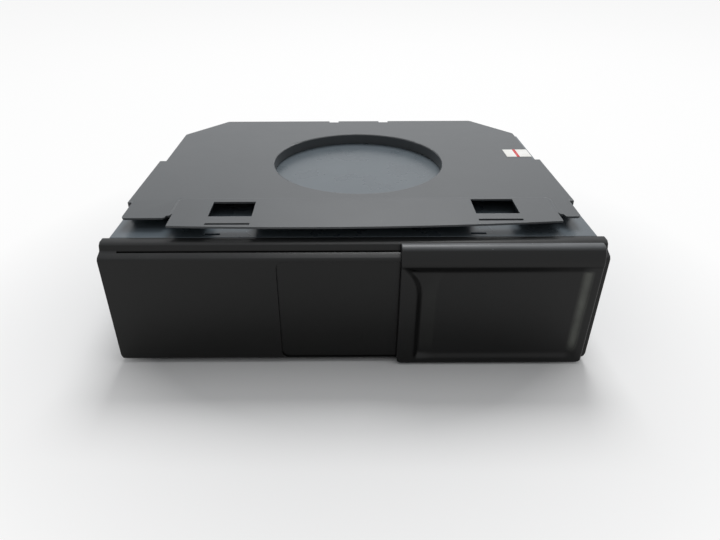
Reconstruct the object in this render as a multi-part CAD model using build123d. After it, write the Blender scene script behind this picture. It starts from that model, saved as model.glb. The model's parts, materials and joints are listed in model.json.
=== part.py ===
"""Six-disc car CD changer with a sliding front door and a mounting plate on its top.

Millimetres.  +X is to the right seen from the front, +Y runs from the front to the back, +Z is up.
The origin is the centre of the flat underside that the changer rests on.
"""
from build123d import *
import math
import os

os.makedirs("parts", exist_ok=True)

# ---------------------------------------------------------------- discs and trays
disc_diameter = 120.0
disc_bore = 15.0
disc_thickness = 1.2
tray_count = 6
tray_pitch = 5.0
tray_floor = 1.0              # under the disc
tray_height = 2.8             # floor and rim together
tray_disc_gap = 0.5           # round the disc in its tray
tray_rim = 1.6
tray_window_radius = 12.6     # centre window that the turntable comes up through
tray_slot_width = 12.0        # slot that the pickup reads through
tray_hub_radius = 3.8
tray_web_width = 46.0         # web between ring and hub, at the ring's centre
tray_swing = 62.0             # degrees, out of the magazine
magazine_pin_radius = 1.5
running_gap = 0.06            # radial, every shaft in its bore

# ---------------------------------------------------------------- magazine
magazine_wall = 1.8
magazine_floor = 1.6
tray_wall_gap = 0.6
open_side_gap = 1.0
pivot_inset = 6.0             # pin to the magazine's left and rear faces
tray_seat_gap = 0.3
ledge_width = 4.0
lid_gap = 0.4
grip_depth = 1.0              # recess that a finger pulls the magazine by
grip_width = 60.0
grip_height = 14.0

disc_radius = disc_diameter / 2
tray_radius = disc_radius + tray_disc_gap + tray_rim
arm_x = tray_radius + open_side_gap - pivot_inset
arm_y = tray_radius + tray_wall_gap + magazine_wall - pivot_inset
arm_length = math.hypot(arm_x, arm_y)
rest_angle = math.degrees(math.atan2(-arm_y, arm_x))
out_angle = rest_angle - tray_swing
out_x = arm_length * math.cos(math.radians(out_angle))
out_y = arm_length * math.sin(math.radians(out_angle))
magazine_width = 2 * tray_radius + open_side_gap + tray_wall_gap + magazine_wall
magazine_depth = pivot_inset + arm_length + tray_radius + tray_wall_gap + magazine_wall

# ---------------------------------------------------------------- sheets, gaps and posts across the width
sheet = 1.0                   # steel of floor, walls and cover
frame_sheet = 1.2
suspension_gap = 9.4          # floating frame to the case, both sides
magazine_side_gap = 0.4
sweep_gap = 2.0               # played disc to the guide post boss
post_radius = 2.5
boss_radius = 4.5
deck_margin = 4.3
cam_sheet = 1.2
cam_deck_gap = 0.6
cam_frame_gap = 0.9
fascia_overhang = 3.6

bay_width = (
    tray_radius - (pivot_inset + out_x) + sweep_gap + 2 * boss_radius
    + deck_margin + cam_deck_gap + cam_sheet + cam_frame_gap
)
inner_width = 2 * (suspension_gap + frame_sheet) + bay_width + magazine_width + magazine_side_gap
case_width = inner_width + 4 * sheet
fascia_width = case_width + 2 * fascia_overhang
inner_left = -inner_width / 2
inner_right = inner_width / 2
frame_left = inner_left + suspension_gap
frame_right = inner_right - suspension_gap
bay_left = frame_left + frame_sheet
magazine_left = bay_left + bay_width
magazine_right = magazine_left + magazine_width

# ---------------------------------------------------------------- depth
magazine_setback = 16.5       # face to the front of the magazine
magazine_rear_gap = 3.0       # room for the ejector's finger
rear_gap = 2.2
body_depth = magazine_setback + magazine_depth + magazine_rear_gap + frame_sheet + rear_gap + sheet
face_y = -body_depth / 2
rear_y = body_depth / 2
magazine_front = face_y + magazine_setback
magazine_rear = magazine_front + magazine_depth
frame_rear = magazine_rear + magazine_rear_gap + frame_sheet
frame_front_setback = 14.0
frame_front = face_y + frame_front_setback
pivot_x = magazine_left + pivot_inset
pivot_y = magazine_rear - pivot_inset
disc_x = pivot_x + arm_x
disc_y = pivot_y - arm_y
spin_x = pivot_x + out_x
spin_y = pivot_y + out_y

# ---------------------------------------------------------------- heights
float_gap = 1.2               # floor to the floating frame
park_gap = 0.5
deck_drop = 10.4              # lowest point of the lift deck below the disc it plays
clamp_top = 5.4               # highest point of the closed clamp above that disc's underside
park_clearance = 0.8
board_room = 21.7             # magazine to the inside of the cover
frame_floor = sheet + float_gap
frame_floor_top = frame_floor + frame_sheet
park_z = frame_floor_top + park_gap + deck_drop
first_tray_z = park_z + clamp_top + park_clearance
magazine_bottom = first_tray_z - tray_seat_gap - magazine_floor
stack_top = first_tray_z + (tray_count - 1) * tray_pitch + tray_height
magazine_top = stack_top + lid_gap + magazine_floor
lift_travel = first_tray_z + tray_floor - park_z + (tray_count - 1) * tray_pitch
case_height = magazine_top + board_room + sheet

# ---------------------------------------------------------------- front
crease_drop = 6.8             # case top down to the crease over the face
crease_z = case_height - crease_drop
fascia_bottom = 1.5
fascia_depth = 12.3
fascia_wall = 2.0
fascia_side_wall = 2.2
fascia_corner = 5.0
fascia_base = 3.0             # thickness of the bottom wall
skin = 1.0                    # outer skin in front of the shutter's pocket
pocket_depth = 2.2
inner_wall = 1.8              # wall behind the pocket, which carries the slot
slot_margin = 0.7             # round the magazine
pocket_lip = 1.2              # skin overlap above and below the shutter
groove_setback = 4.0          # hook groove along the top and bottom edges
groove_width = 1.3
groove_depth = 1.8
groove_end_gap = 2.5
break_share = 0.2             # of the drop, where the face's top edge breaks back
groove_front_share = 0.35
groove_back_share = 0.44
shoulder_share = 0.82
shoulder_run = 0.8            # groove to the shoulder's break
shoulder_depth = 2.6          # groove to the full height
case_seam = 0.1

door_width = 102.6
door_right_inset = 3.0        # from the fascia's right end
door_gap = 0.4
door_sheet = 2.2
door_lip = 0.7
door_lip_z = 0.5
hook_sheet = 0.7
roll_height = 9.7             # of the rolled top edge, below the door's highest point
roll_rise = 0.2               # door above the case top
roll_steps = 10
lip_chamfer = 1.2
hook_chamfer = 0.5
panel_sink = 0.6
panel_fillet_height = 4.0
panel_side_slope = 4.0
panel_base = 4.0
panel_foot = 2.0
panel_left_gap = 2.0          # finger groove to the panel
panel_left_slope = 1.5
panel_brow = 1.2              # first step of the fillet at the panel's top
grip_strip = 8.0              # flat strip left of the finger groove
groove_top_spread = 5.0
groove_flare_height = 12.0
groove_taper = 1.0            # each side, at the groove's foot
groove_top_gap = 0.5          # below the rolled edge
cut_over = 1.0                # cutting shapes reach this far past the face
finger_groove_width = 9.0
finger_groove_depth = 1.4
finger_wall = 2.2
frame_strip = 3.4

recess_width = 63.5           # shutter seen left of the door
shutter_sheet = 1.6
shutter_gap = 0.3
shutter_overlap = 2.0
recess_corner = 4.0

fascia_left = -fascia_width / 2
fascia_right = fascia_width / 2
break_z = crease_z + crease_drop * break_share
groove_rim_z = crease_z + crease_drop * groove_front_share
pocket_front = face_y + skin
inner_wall_front = pocket_front + pocket_depth
inner_wall_back = inner_wall_front + inner_wall
slot_left = magazine_left - slot_margin
slot_right = magazine_right + slot_margin
slot_bottom = magazine_bottom - slot_margin
slot_top = magazine_top + slot_margin
door_right = fascia_right - door_right_inset
door_left = door_right - door_width
door_top = case_height + roll_rise
door_travel = door_right - slot_left + door_gap
groove_left = door_left - door_travel - groove_end_gap
recess_left = door_left - recess_width
shutter_left = recess_left - shutter_overlap
shutter_right = door_left + grip_strip
shutter_travel = shutter_right - slot_left + door_gap
pocket_left = shutter_left - shutter_travel - groove_end_gap
pocket_right = shutter_right + shutter_gap
recess_bottom = fascia_bottom + fascia_base - pocket_lip
recess_top = crease_z - pocket_lip
pocket_bottom = recess_bottom - pocket_lip / 2
pocket_top = recess_top + pocket_lip / 2

# ---------------------------------------------------------------- eject button and its board
button_width = 16.0
button_height = 6.0
button_travel = 2.0
button_gap = 0.3
button_inset = 22.0           # centre from the slot's right end
button_flange = 1.2
button_length = 6.6
switch_size = 6.0
switch_height = 2.5
board_sheet = 1.6
front_board_width = 34.0
front_board_margin = 1.0      # board above and below its switch
front_board_clearance = 0.6   # board above the slot
front_board_height = switch_size + 2 * front_board_margin
button_rise = front_board_clearance + front_board_height / 2
button_x = slot_right - button_inset
button_z = slot_top + button_rise
button_back = face_y + button_length
switch_front = button_back + button_travel + button_gap
front_board_y = switch_front + switch_height

# ---------------------------------------------------------------- mounting plate
plate_rise = 7.0              # plate top above the case top
plate_sheet = 1.2
plate_centre = -1.0
plate_front_half = 123.6
plate_rear_half = 119.6
plate_step_setback = 106.5
plate_chamfer_setback = 161.6
plate_back_setback = 193.6
plate_back_half = 93.7
plate_side_setback = 41.0
plate_corner = 3.0
fold_setback = 45.6
front_tilt = 1.5              # degrees the strip and tabs lean down ahead of the fold
skirt_gap = 0.3
strip_rise = 1.0
strip_ramp = 2.0
strip_corner = 3.0
strip_left = -95.7
strip_right = 108.4
strip_middle_setback = 10.0
strip_left_setback = 11.6
strip_right_setback = 15.5
window_centre = 6.0
window_half_pitch = 70.7
window_width = 23.0
window_depth = 17.4
window_setbacks = {-1: 22.1, 1: 24.4}
slit_setbacks = {-1: 12.6, 1: 16.3}
slit_depth = 1.9
tab_inset = 2.4
tab_setback = 22.4
tab_corner = 2.0
relief_setback = 25.2
relief_width = 3.5
opening_x = 4.3
opening_setback = 106.3
opening_radius = 54.0
rim_bend = 2.0
notch_half_pitch = 19.1
notch_centre = 6.4
notch_width = 7.0
notch_depth = 3.0
boss_plate_radius = 4.0
plate_boss_half = 98.0
plate_boss_front_setback = 62.0
plate_boss_rear_setback = 150.0
cover_slot_centre = -4.0
cover_slot_half_pitch = 69.6
cover_slot_setback = 15.0
cover_slot_length = 8.0
cover_slot_width = 1.8
label_length = 16.0
label_gap = 5.0
label_width = 14.0
label_sheet = 0.15

plate_top = case_height + plate_rise
plate_under = plate_top - plate_sheet

# ---------------------------------------------------------------- screws, nuts and the rear socket
screw_radius = 1.5
screw_head_radius = 2.8
screw_head = 1.4
screw_length = 5.0
nut_radius = 4.0
nut_thread_radius = 2.1       # M5 tapping size, through the wall too
nut_length = 3.0
bracket_front_setback = 62.0
bracket_spacing = 60.0
bracket_z = 36.0
cover_lip = 12.0
case_screw_drop = 7.0         # below the case top
case_screw_front_setback = 30.0
case_screw_spacing = 116.0
transport_radius = 2.0
transport_head_radius = 4.0
transport_head = 0.8
transport_front_setback = 30.0
transport_spacing = 110.0
transport_x = 40.0
socket_radius = 9.0
socket_flange_width = 30.0
socket_flange_height = 18.0
socket_flange = 1.2
socket_length = 12.0
socket_wall = 1.5
socket_x = 60.0
socket_drop = 10.6            # below the case top
socket_pin_radius = 0.5
socket_pin_circle = 5.0
socket_pin_count = 8
socket_pin_length = 8.0
socket_base = 3.0
socket_z = case_height - socket_drop

# ---------------------------------------------------------------- floating frame and its dampers
left_wall_top = 68.0
left_wall_low_top = 56.0
drive_bay_setback = 112.0     # the left wall is taller behind this
rear_wall_top = 53.0
right_wall_top = 52.0
cross_lip = 8.0
rail_width = 3.0
rail_gap = 0.3
rail_inset = 2.0
damper_radius = 6.0
damper_core_radius = 2.0
spring_inner = 7.0
spring_outer = 8.2
damper_z = 44.0
damper_front_setback = 40.0
damper_rear_setback = 142.0
damper_rim = 0.8

# ---------------------------------------------------------------- lift deck
deck_sheet = 1.2
deck_top_drop = 4.0           # deck top below the played disc
deck_edge_gap = 2.0
deck_front_setback = 20.0
deck_rear_gap = 4.0
post_front_setback = 32.0
post_mid_setback = 130.0
post_rear_setback = 158.0
post_rear_offset = 36.0       # rear post left of the magazine
boss_drop = 8.8
boss_rise_drop = 2.0
post_top_margin = 3.0
pin_radius = 1.8
pin_length = 2.4
pin_mid_drop = 4.6
pin_front_setback = 75.0
pin_rear_setback = 125.0
cam_slot_gap = 0.2
cam_edge = 4.5
cam_ahead = 16.0              # cam plate in front of the front pin
cam_behind = 43.0
stud_radius = 2.0
stud_head_radius = 3.6
stud_head = 0.8
stud_slot_gap = 0.3
stud_front_setback = 66.0
stud_rear_setback = 112.0

# ---------------------------------------------------------------- gears
pressure_angle = math.radians(20)
addendum = 0.8                # in modules
dedendum = 1.1
backlash = 0.12
flank_steps = 4
lift_module = 0.7
pinion_teeth = 16
wheel_module = 0.5
wheel_teeth = 40
wheel_sheet = 1.4
gear_gap = 0.4
stub_radius = 1.5
lift_gear_setback = 130.0
lift_motor_angle = 20.0       # degrees above the horizontal, rearwards of the gear
lift_motor_radius = 7.75
lift_motor_length = 20.0
shelf_sheet = 1.2
shelf_clearance = 1.0
cradle_width = 8.0

# ---------------------------------------------------------------- turntable, clamp and pickup
flange_radius = 11.4
flange_sheet = 1.5
cone_radius = 7.3
cone_top_radius = 5.6
cone_height = 2.0
hub_radius = 4.0
shaft_radius = 1.0
spindle_motor_radius = 12.0
spindle_motor_gap = 0.1
hub_hole_gap = 1.5
clamp_half_width = 20.0
clamp_tip_half_width = 9.0
clamp_underside = 3.4
clamp_tip_reach = 10.0
clamp_opening = 5.0           # degrees
hinge_edge = 5.1              # hinge pin from the deck's left edge
hinge_pin_radius = 1.2
knuckle_radius = 2.3
ear_sheet = 2.0
ear_gap = 0.8
ear_half_length = 3.0
hinge_rise = 4.4
puck_radius = 12.0
puck_underside = 1.5
puck_sheet = 1.6
puck_neck_radius = 3.0
puck_head_radius = 5.0
puck_head = 0.8
puck_head_gap = 0.3
puck_recess_radius = 8.0
puck_recess = 0.9

sled_near = 14.0              # sled's inner face from the turntable's axis
sled_length = 24.0
sled_half_width = 16.4
sled_top_drop = 3.4
sled_bottom_drop = 10.0
sled_travel = 34.0
lens_offset = 24.0
lens_radius = 3.0
lens_top_drop = 2.2
rod_offset = 14.0
rod_radius = 1.5
rod_drop = 7.0
rod_block = 3.0
rod_block_gap = 1.2
window_side_gap = 1.1
sled_module = 0.5
sled_rack_offset = 18.5       # pitch line from the turntable's axis
sled_rack_drop = 3.7
sled_rack_sheet = 1.4
sled_pinion_lead = 36.0
sled_motor_radius = 5.5
hook_length = 52.0
hook_width = 8.0
hook_setback = 142.0
hook_travel = 30.0
hook_finger = 1.6
hook_sheet_drop = 3.7
hook_plate = 1.2
hook_finger_rise = 1.4
hook_edge_gap = 1.0
hook_stud_spacing = 8.0
hook_slot_end = 3.0

# ---------------------------------------------------------------- ejector under the magazine
ejector_sheet = 1.2
ejector_gap = 0.3
ejector_width = 22.0
ejector_length = 74.0
ejector_travel = 13.0
ejector_finger = 2.0
ejector_finger_gap = 0.3
ejector_finger_rise = 14.0    # overlap with the magazine's rear face
ejector_x = disc_x
eject_motor_radius = 7.0
eject_motor_length = 10.0
eject_pinion_lead = 40.0      # pinion in front of the ejector's rear end

# ---------------------------------------------------------------- main board
board_stud_length = 7.0
board_stud_radius = 2.5
board_left = -8.0
board_right_gap = 6.0
board_front_setback = 44.0
board_rear_gap = 12.0
board_stud_inset = 5.0


# ================================================================ small shape helpers
def block(x0, x1, y0, y1, z0, z1):
    """Box between two corners."""
    return Pos((x0 + x1) / 2, (y0 + y1) / 2, (z0 + z1) / 2) * Box(x1 - x0, y1 - y0, z1 - z0)


def upright(x, y, z0, z1, radius):
    """Cylinder along Z."""
    return Pos(x, y, (z0 + z1) / 2) * Cylinder(radius, z1 - z0)


def across(x0, x1, y, z, radius):
    """Cylinder along X."""
    return Pos((x0 + x1) / 2, y, z) * Rot(0, 90, 0) * Cylinder(radius, x1 - x0)


def lengthwise(x, y0, y1, z, radius):
    """Cylinder along Y."""
    return Pos(x, (y0 + y1) / 2, z) * Rot(90, 0, 0) * Cylinder(radius, y1 - y0)


def side_profile(points, x0, x1):
    """Solid with the (y, z) outline given, from x0 to x1."""
    outline = Plane.YZ * Polygon(*points, align=None)
    return Pos(x0, 0, 0) * extrude(outline, amount=x1 - x0, dir=(1, 0, 0))


def plan_profile(points, z0, z1):
    """Solid with the (x, y) outline given, from z0 to z1."""
    return Pos(0, 0, z0) * extrude(Polygon(*points, align=None), amount=z1 - z0, dir=(0, 0, 1))


def obround_z(x0, x1, y, width, z0, z1):
    """Slot-shaped solid along X, standing from z0 to z1."""
    radius = width / 2
    middle = block(x0, x1, y - radius, y + radius, z0, z1)
    return middle + upright(x0, y, z0, z1, radius) + upright(x1, y, z0, z1, radius)


def slanted_slot(x0, x1, y0, z0, y1, z1, width):
    """Slot-shaped solid across a plate between two (y, z) points."""
    length = math.hypot(y1 - y0, z1 - z0)
    tilt = math.degrees(math.atan2(z1 - z0, y1 - y0))
    middle = Pos((x0 + x1) / 2, (y0 + y1) / 2, (z0 + z1) / 2) * Rot(tilt, 0, 0) * Box(x1 - x0, length, width)
    return middle + across(x0, x1, y0, z0, width / 2) + across(x0, x1, y1, z1, width / 2)


def spun(x, y, angle, shape):
    """Shape made about the origin, turned about Z and moved to (x, y)."""
    return Pos(x, y, 0) * Rot(0, 0, angle) * shape


# ================================================================ gears
def involute(angle):
    return math.tan(angle) - angle


def gear(teeth, module, z0, z1, bore):
    """Spur gear about Z with a tooth centred on +X."""
    pitch = teeth * module / 2
    base = pitch * math.cos(pressure_angle)
    tip = pitch + addendum * module
    root = pitch - dedendum * module
    start = max(base, root)
    half_tooth = math.pi / (2 * teeth) - backlash / (2 * pitch)
    flank = []
    for step in range(flank_steps + 1):
        radius = start + (tip - start) * step / flank_steps
        flank.append((radius, half_tooth + involute(pressure_angle) - involute(math.acos(base / radius))))
    flank.insert(0, (root, flank[0][1]))
    points = []
    for tooth in range(teeth):
        centre = 2 * math.pi * tooth / teeth
        points += [(r * math.cos(centre - a), r * math.sin(centre - a)) for r, a in flank]
        points += [(r * math.cos(centre + a), r * math.sin(centre + a)) for r, a in reversed(flank)]
    return plan_profile(points, z0, z1) - upright(0, 0, z0, z1, bore)


def rack(start, end, module, thickness, back):
    """Rack along X with its pitch line on Y = 0, teeth towards +Y and a gap centred on X = 0."""
    pitch = math.pi * module
    root = -dedendum * module
    tip = addendum * module
    half_tooth = pitch / 4 - backlash / 2
    slope = math.tan(pressure_angle)
    points = [(start, root - back), (start, root)]
    for number in range(math.ceil(start / pitch), math.floor(end / pitch)):
        centre = (number + 0.5) * pitch
        points.append((centre - half_tooth + root * slope, root))
        points.append((centre - half_tooth + tip * slope, tip))
        points.append((centre + half_tooth - tip * slope, tip))
        points.append((centre + half_tooth - root * slope, root))
    points += [(end, root), (end, root - back)]
    return plan_profile(points, 0, thickness)


# ================================================================ case
case_screw_z = case_height - case_screw_drop
bracket_ys = [face_y + bracket_front_setback, face_y + bracket_front_setback + bracket_spacing]
case_screw_ys = [face_y + case_screw_front_setback, face_y + case_screw_front_setback + case_screw_spacing]
transport_ys = [face_y + transport_front_setback, face_y + transport_front_setback + transport_spacing]
plate_bosses = [
    (plate_centre + side * plate_boss_half, face_y + setback)
    for side in (-1, 1)
    for setback in (plate_boss_front_setback, plate_boss_rear_setback)
]
case_front = face_y + fascia_depth + case_seam
floor_front = face_y + groove_setback + groove_width + fascia_wall


def base_plate():
    """Floor of the case, under its walls."""
    half = inner_width / 2 + sheet
    plate = block(-half, half, floor_front, rear_y, 0, sheet)
    for side in (-1, 1):
        for y in transport_ys:
            plate -= upright(side * transport_x, y, 0, sheet, transport_radius + running_gap)
    return plate


def case_walls():
    """Two side walls and the rear wall, welded to the floor and to each other."""
    half = inner_width / 2
    top = case_height - sheet
    walls = []
    for side in (-1, 1):
        near, far = sorted((side * half, side * (half + sheet)))
        wall = block(near, far, case_front, rear_y, sheet, top)
        for y in bracket_ys:
            wall -= across(near, far, y, bracket_z, nut_thread_radius)
        for y in case_screw_ys:
            wall -= across(near, far, y, case_screw_z, screw_radius)
        walls.append(wall)
    rear = block(-half, half, rear_y - sheet, rear_y, sheet, top)
    walls.append(rear - lengthwise(socket_x, rear_y - sheet, rear_y, socket_z, socket_radius))
    return Compound(children=walls)


def top_cover():
    """Lid of the case with a lip down each side, outside the walls."""
    half = case_width / 2
    cover = block(-half, half, case_front, rear_y, case_height - sheet, case_height)
    for side in (-1, 1):
        near, far = sorted((side * half, side * (half - sheet)))
        lip = block(near, far, case_front, rear_y, case_height - cover_lip, case_height - sheet)
        for y in case_screw_ys:
            lip -= across(near, far, y, case_screw_z, screw_radius)
        cover += lip
        slot_x = cover_slot_centre + side * cover_slot_half_pitch
        near = face_y + cover_slot_setback
        cover -= block(
            slot_x - cover_slot_length / 2, slot_x + cover_slot_length / 2,
            near, near + cover_slot_width, case_height - sheet, case_height,
        )
    for x, y in plate_bosses:
        cover -= upright(x, y, case_height - sheet, case_height, screw_radius)
    return cover


def case_screws():
    """Four screws that hold the cover to the walls, two a side."""
    outer = case_width / 2
    screws = []
    for side in (-1, 1):
        for y in case_screw_ys:
            shank_span = sorted((side * outer, side * (outer - screw_length)))
            head_span = sorted((side * outer, side * (outer + screw_head)))
            shank = across(*shank_span, y, case_screw_z, screw_radius)
            screws.append(shank + across(*head_span, y, case_screw_z, screw_head_radius))
    return Compound(children=screws)


def side_nuts():
    """Threaded bushes inside the side walls, for the vehicle's brackets."""
    nuts = []
    for side in (-1, 1):
        for y in bracket_ys:
            span = sorted((side * inner_width / 2, side * (inner_width / 2 - nut_length)))
            thread = across(*span, y, bracket_z, nut_thread_radius)
            nuts.append(across(*span, y, bracket_z, nut_radius) - thread)
    return Compound(children=nuts)


def transport_screws():
    """Four screws up through the floor that lock the floating frame while it travels."""
    top = frame_floor_top
    screws = []
    for side in (-1, 1):
        for y in transport_ys:
            x = side * transport_x
            head = upright(x, y, sheet, sheet + transport_head, transport_head_radius)
            screws.append(upright(x, y, 0, top, transport_radius) + head)
    return Compound(children=screws)


def rear_socket():
    """Round socket for the changer's lead, in the rear wall."""
    flange_y = rear_y - sheet - socket_flange
    socket = block(
        socket_x - socket_flange_width / 2, socket_x + socket_flange_width / 2,
        flange_y, rear_y - sheet,
        socket_z - socket_flange_height / 2, socket_z + socket_flange_height / 2,
    )
    inner_end = rear_y - socket_length
    socket += lengthwise(socket_x, inner_end, rear_y, socket_z, socket_radius)
    socket -= lengthwise(socket_x, inner_end + socket_base, rear_y, socket_z, socket_radius - socket_wall)
    for number in range(socket_pin_count):
        turn = 2 * math.pi * number / socket_pin_count
        x = socket_x + socket_pin_circle * math.cos(turn)
        z = socket_z + socket_pin_circle * math.sin(turn)
        socket += lengthwise(x, inner_end, inner_end + socket_pin_length, z, socket_pin_radius)
    return socket


# ================================================================ fascia, door and shutter
def fascia_section():
    """Outline of the fascia seen from its end, as (y, z) points."""
    groove_front = face_y + groove_setback
    groove_back = groove_front + groove_width
    rear = face_y + fascia_depth
    return [
        (face_y, fascia_bottom + fascia_wall),
        (face_y, crease_z),
        (face_y + skin, break_z),
        (groove_front, groove_rim_z),
        (groove_back, crease_z + crease_drop * groove_back_share),
        (groove_back + shoulder_run, crease_z + crease_drop * shoulder_share),
        (groove_back + shoulder_depth, case_height),
        (rear, case_height),
        (rear, fascia_bottom),
        (face_y + fascia_wall, fascia_bottom),
    ]


def front_fascia():
    """Moulded front with the magazine slot, the shutter's pocket and the door's grooves."""
    body = side_profile(fascia_section(), fascia_left, fascia_right)
    outline = RectangleRounded(fascia_width, case_height - fascia_bottom, fascia_corner)
    tall = Pos(0, 0, (case_height + fascia_bottom) / 2) * Rot(90, 0, 0) * outline
    square_top = block(fascia_left, fascia_right, face_y, case_front, case_height / 2, case_height)
    body &= extrude(tall, amount=body_depth, both=True) + square_top
    rear = face_y + fascia_depth
    roof_back = face_y + groove_setback + groove_width + fascia_wall
    for start, roof in ((inner_wall_back, crease_z - groove_depth), (roof_back, case_height - fascia_wall)):
        body -= block(
            fascia_left + fascia_side_wall, fascia_right - fascia_side_wall,
            start, rear, fascia_bottom + fascia_base, roof,
        )
    body -= block(pocket_left, pocket_right, pocket_front, inner_wall_front, pocket_bottom, pocket_top)
    window = block(recess_left, pocket_right, face_y, pocket_front, recess_bottom, recess_top)
    corner_edges = window.edges().filter_by(Axis.Y).sort_by(Axis.X)[:2]
    body -= fillet(corner_edges, recess_corner)
    body -= block(slot_left, slot_right, face_y, inner_wall_back, slot_bottom, slot_top)
    groove_front = face_y + groove_setback
    groove_back = groove_front + groove_width
    groove_right = door_right + shutter_gap
    groove_floor = groove_rim_z - groove_depth
    body -= block(groove_left, groove_right, groove_front, groove_back, groove_floor, case_height)
    body -= block(
        groove_left, groove_right, groove_front, groove_back, fascia_bottom, fascia_bottom + groove_depth,
    )
    body -= block(
        button_x - button_width / 2 - button_gap, button_x + button_width / 2 + button_gap,
        face_y, inner_wall_back,
        button_z - button_height / 2 - button_gap, button_z + button_height / 2 + button_gap,
    )
    for end in (-1, 1):
        x = button_x + end * (front_board_width / 2 - board_sheet)
        body += block(
            x - board_sheet, x + board_sheet, inner_wall_back, front_board_y,
            button_z - board_sheet, button_z + board_sheet,
        )
    return body


def door_section():
    """Outline of the door seen from its end: lip, front, rolled top and hook."""
    front = face_y - door_gap - door_sheet
    back = face_y - door_gap
    hook_back = face_y + groove_setback + groove_width - shutter_gap
    hook_front = hook_back - hook_sheet
    hook_bottom = groove_rim_z - groove_depth + shutter_gap
    roll_start = door_top - roll_height
    roll_back = hook_front - 2 * hook_sheet
    lip_top = door_lip_z + door_lip
    roll = []
    for step in range(roll_steps + 1):
        turn = math.pi / 2 * step / roll_steps
        roll.append((
            roll_back - (roll_back - front) * math.cos(turn),
            roll_start + roll_height * math.sin(turn),
        ))
    outer = [
        (hook_back, door_lip_z), (front + lip_chamfer, door_lip_z), (front, door_lip_z + lip_chamfer),
    ] + roll
    hook = [
        (hook_back - hook_chamfer, door_top), (hook_back, door_top - hook_chamfer),
        (hook_back, hook_bottom), (hook_front, hook_bottom),
    ]
    inner = [
        (hook_front, groove_rim_z + door_gap),
        (face_y + skin - door_gap / 2, break_z + door_gap),
        (back, crease_z),
        (back, lip_top),
        (hook_front, lip_top),
        (hook_front, fascia_bottom + groove_depth - shutter_gap),
        (hook_back, fascia_bottom + groove_depth - shutter_gap),
    ]
    return outer + hook + inner


def finger_groove():
    """Tapered groove that a finger pulls the door by, wider at its top."""
    front = face_y - door_gap - door_sheet
    top = door_top - roll_height - groove_top_gap
    left = door_left + grip_strip + groove_top_spread
    sections = []
    for z, start, width in (
        (panel_base, left + groove_taper, finger_groove_width - 2 * groove_taper),
        (top - groove_flare_height, left, finger_groove_width),
        (top, left - groove_top_spread, finger_groove_width + 2 * groove_top_spread),
    ):
        outline = Polygon(
            (start, front - cut_over), (start, front), (start + finger_wall, front + finger_groove_depth),
            (start + width, front), (start + width, front - cut_over), align=None,
        )
        sections.append(Pos(0, 0, z) * outline)
    return loft(sections, ruled=True)


def sliding_door():
    """Door that hooks over the fascia's top edge and slides left over its face."""
    door = side_profile(door_section(), door_left, door_right)
    front = face_y - door_gap - door_sheet
    panel_left = door_left + grip_strip + groove_top_spread + finger_groove_width + panel_left_gap
    panel_right = door_right - frame_strip
    top = door_top - roll_height
    sunk_y = front + panel_sink
    sunk = side_profile(
        [
            (front - cut_over, panel_base), (front, panel_base), (sunk_y, panel_base + panel_foot),
            (sunk_y, top - panel_fillet_height), (front + panel_sink / 3, top - panel_brow),
            (front, top), (front - cut_over, top),
        ],
        panel_left, panel_right,
    )
    slope = Polygon(
        (panel_left, front - cut_over), (panel_left, front), (panel_left + panel_left_slope, sunk_y),
        (panel_right - panel_side_slope, sunk_y), (panel_right, front),
        (panel_right, front - cut_over), align=None,
    )
    sunk &= extrude(slope, amount=case_height, dir=(0, 0, 1))
    return door - sunk - finger_groove()


def inner_shutter():
    """Thin plate behind the face that closes the slot's left end, seen in the recess."""
    return block(
        shutter_left, shutter_right,
        pocket_front + shutter_gap, pocket_front + shutter_gap + shutter_sheet,
        pocket_bottom + shutter_gap, pocket_top - shutter_gap,
    )


def eject_button():
    """Push button above the slot, behind the closed door."""
    cap = block(
        button_x - button_width / 2, button_x + button_width / 2,
        face_y, button_back,
        button_z - button_height / 2, button_z + button_height / 2,
    )
    flange_front = inner_wall_back + button_gap
    return cap + block(
        button_x - button_width / 2 - button_flange, button_x + button_width / 2 + button_flange,
        flange_front, button_back,
        button_z - button_height / 2 - button_flange, button_z + button_height / 2 + button_flange,
    )


def eject_switch():
    """Tact switch that the button presses."""
    body = block(
        button_x - switch_size / 2, button_x + switch_size / 2,
        switch_front + button_gap, front_board_y,
        button_z - switch_size / 2, button_z + switch_size / 2,
    )
    return body + lengthwise(button_x, switch_front, switch_front + button_gap, button_z, switch_size / 4)


def front_board():
    """Small circuit board behind the button."""
    return block(
        button_x - front_board_width / 2, button_x + front_board_width / 2,
        front_board_y, front_board_y + board_sheet,
        button_z - front_board_height / 2, button_z + front_board_height / 2,
    )


# ================================================================ mounting plate
def plate_outline(inset):
    """Outline of the plate's main field as (x, y) points, drawn in by an amount."""
    front = plate_front_half - inset
    rear = plate_rear_half - inset
    back = plate_back_half - inset / 2
    step_y = face_y + plate_step_setback - inset
    chamfer_y = face_y + plate_chamfer_setback - inset / 2
    back_y = face_y + plate_back_setback - inset
    side_y = face_y + plate_side_setback
    right = [(front, side_y), (front, step_y), (rear, step_y), (rear, chamfer_y), (back, back_y)]
    left = [(-x, y) for x, y in reversed(right)]
    return [(plate_centre + x, y) for x, y in right + left]


def plate_field(inset, bottom, top):
    """The main field as a block, its four rear corners rounded."""
    field = plan_profile(plate_outline(inset), bottom, top)
    chamfer_y = face_y + plate_chamfer_setback - inset
    corners = field.edges().filter_by(Axis.Z).filter_by(lambda e: e.center().Y > chamfer_y - plate_sheet)
    return fillet(corners, plate_corner - inset)


def flat_shape(outline, bottom, top):
    """A closed outline made into a block from one height to another."""
    return Pos(0, 0, bottom) * extrude(make_face(outline), amount=top - bottom, dir=(0, 0, 1))


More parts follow.
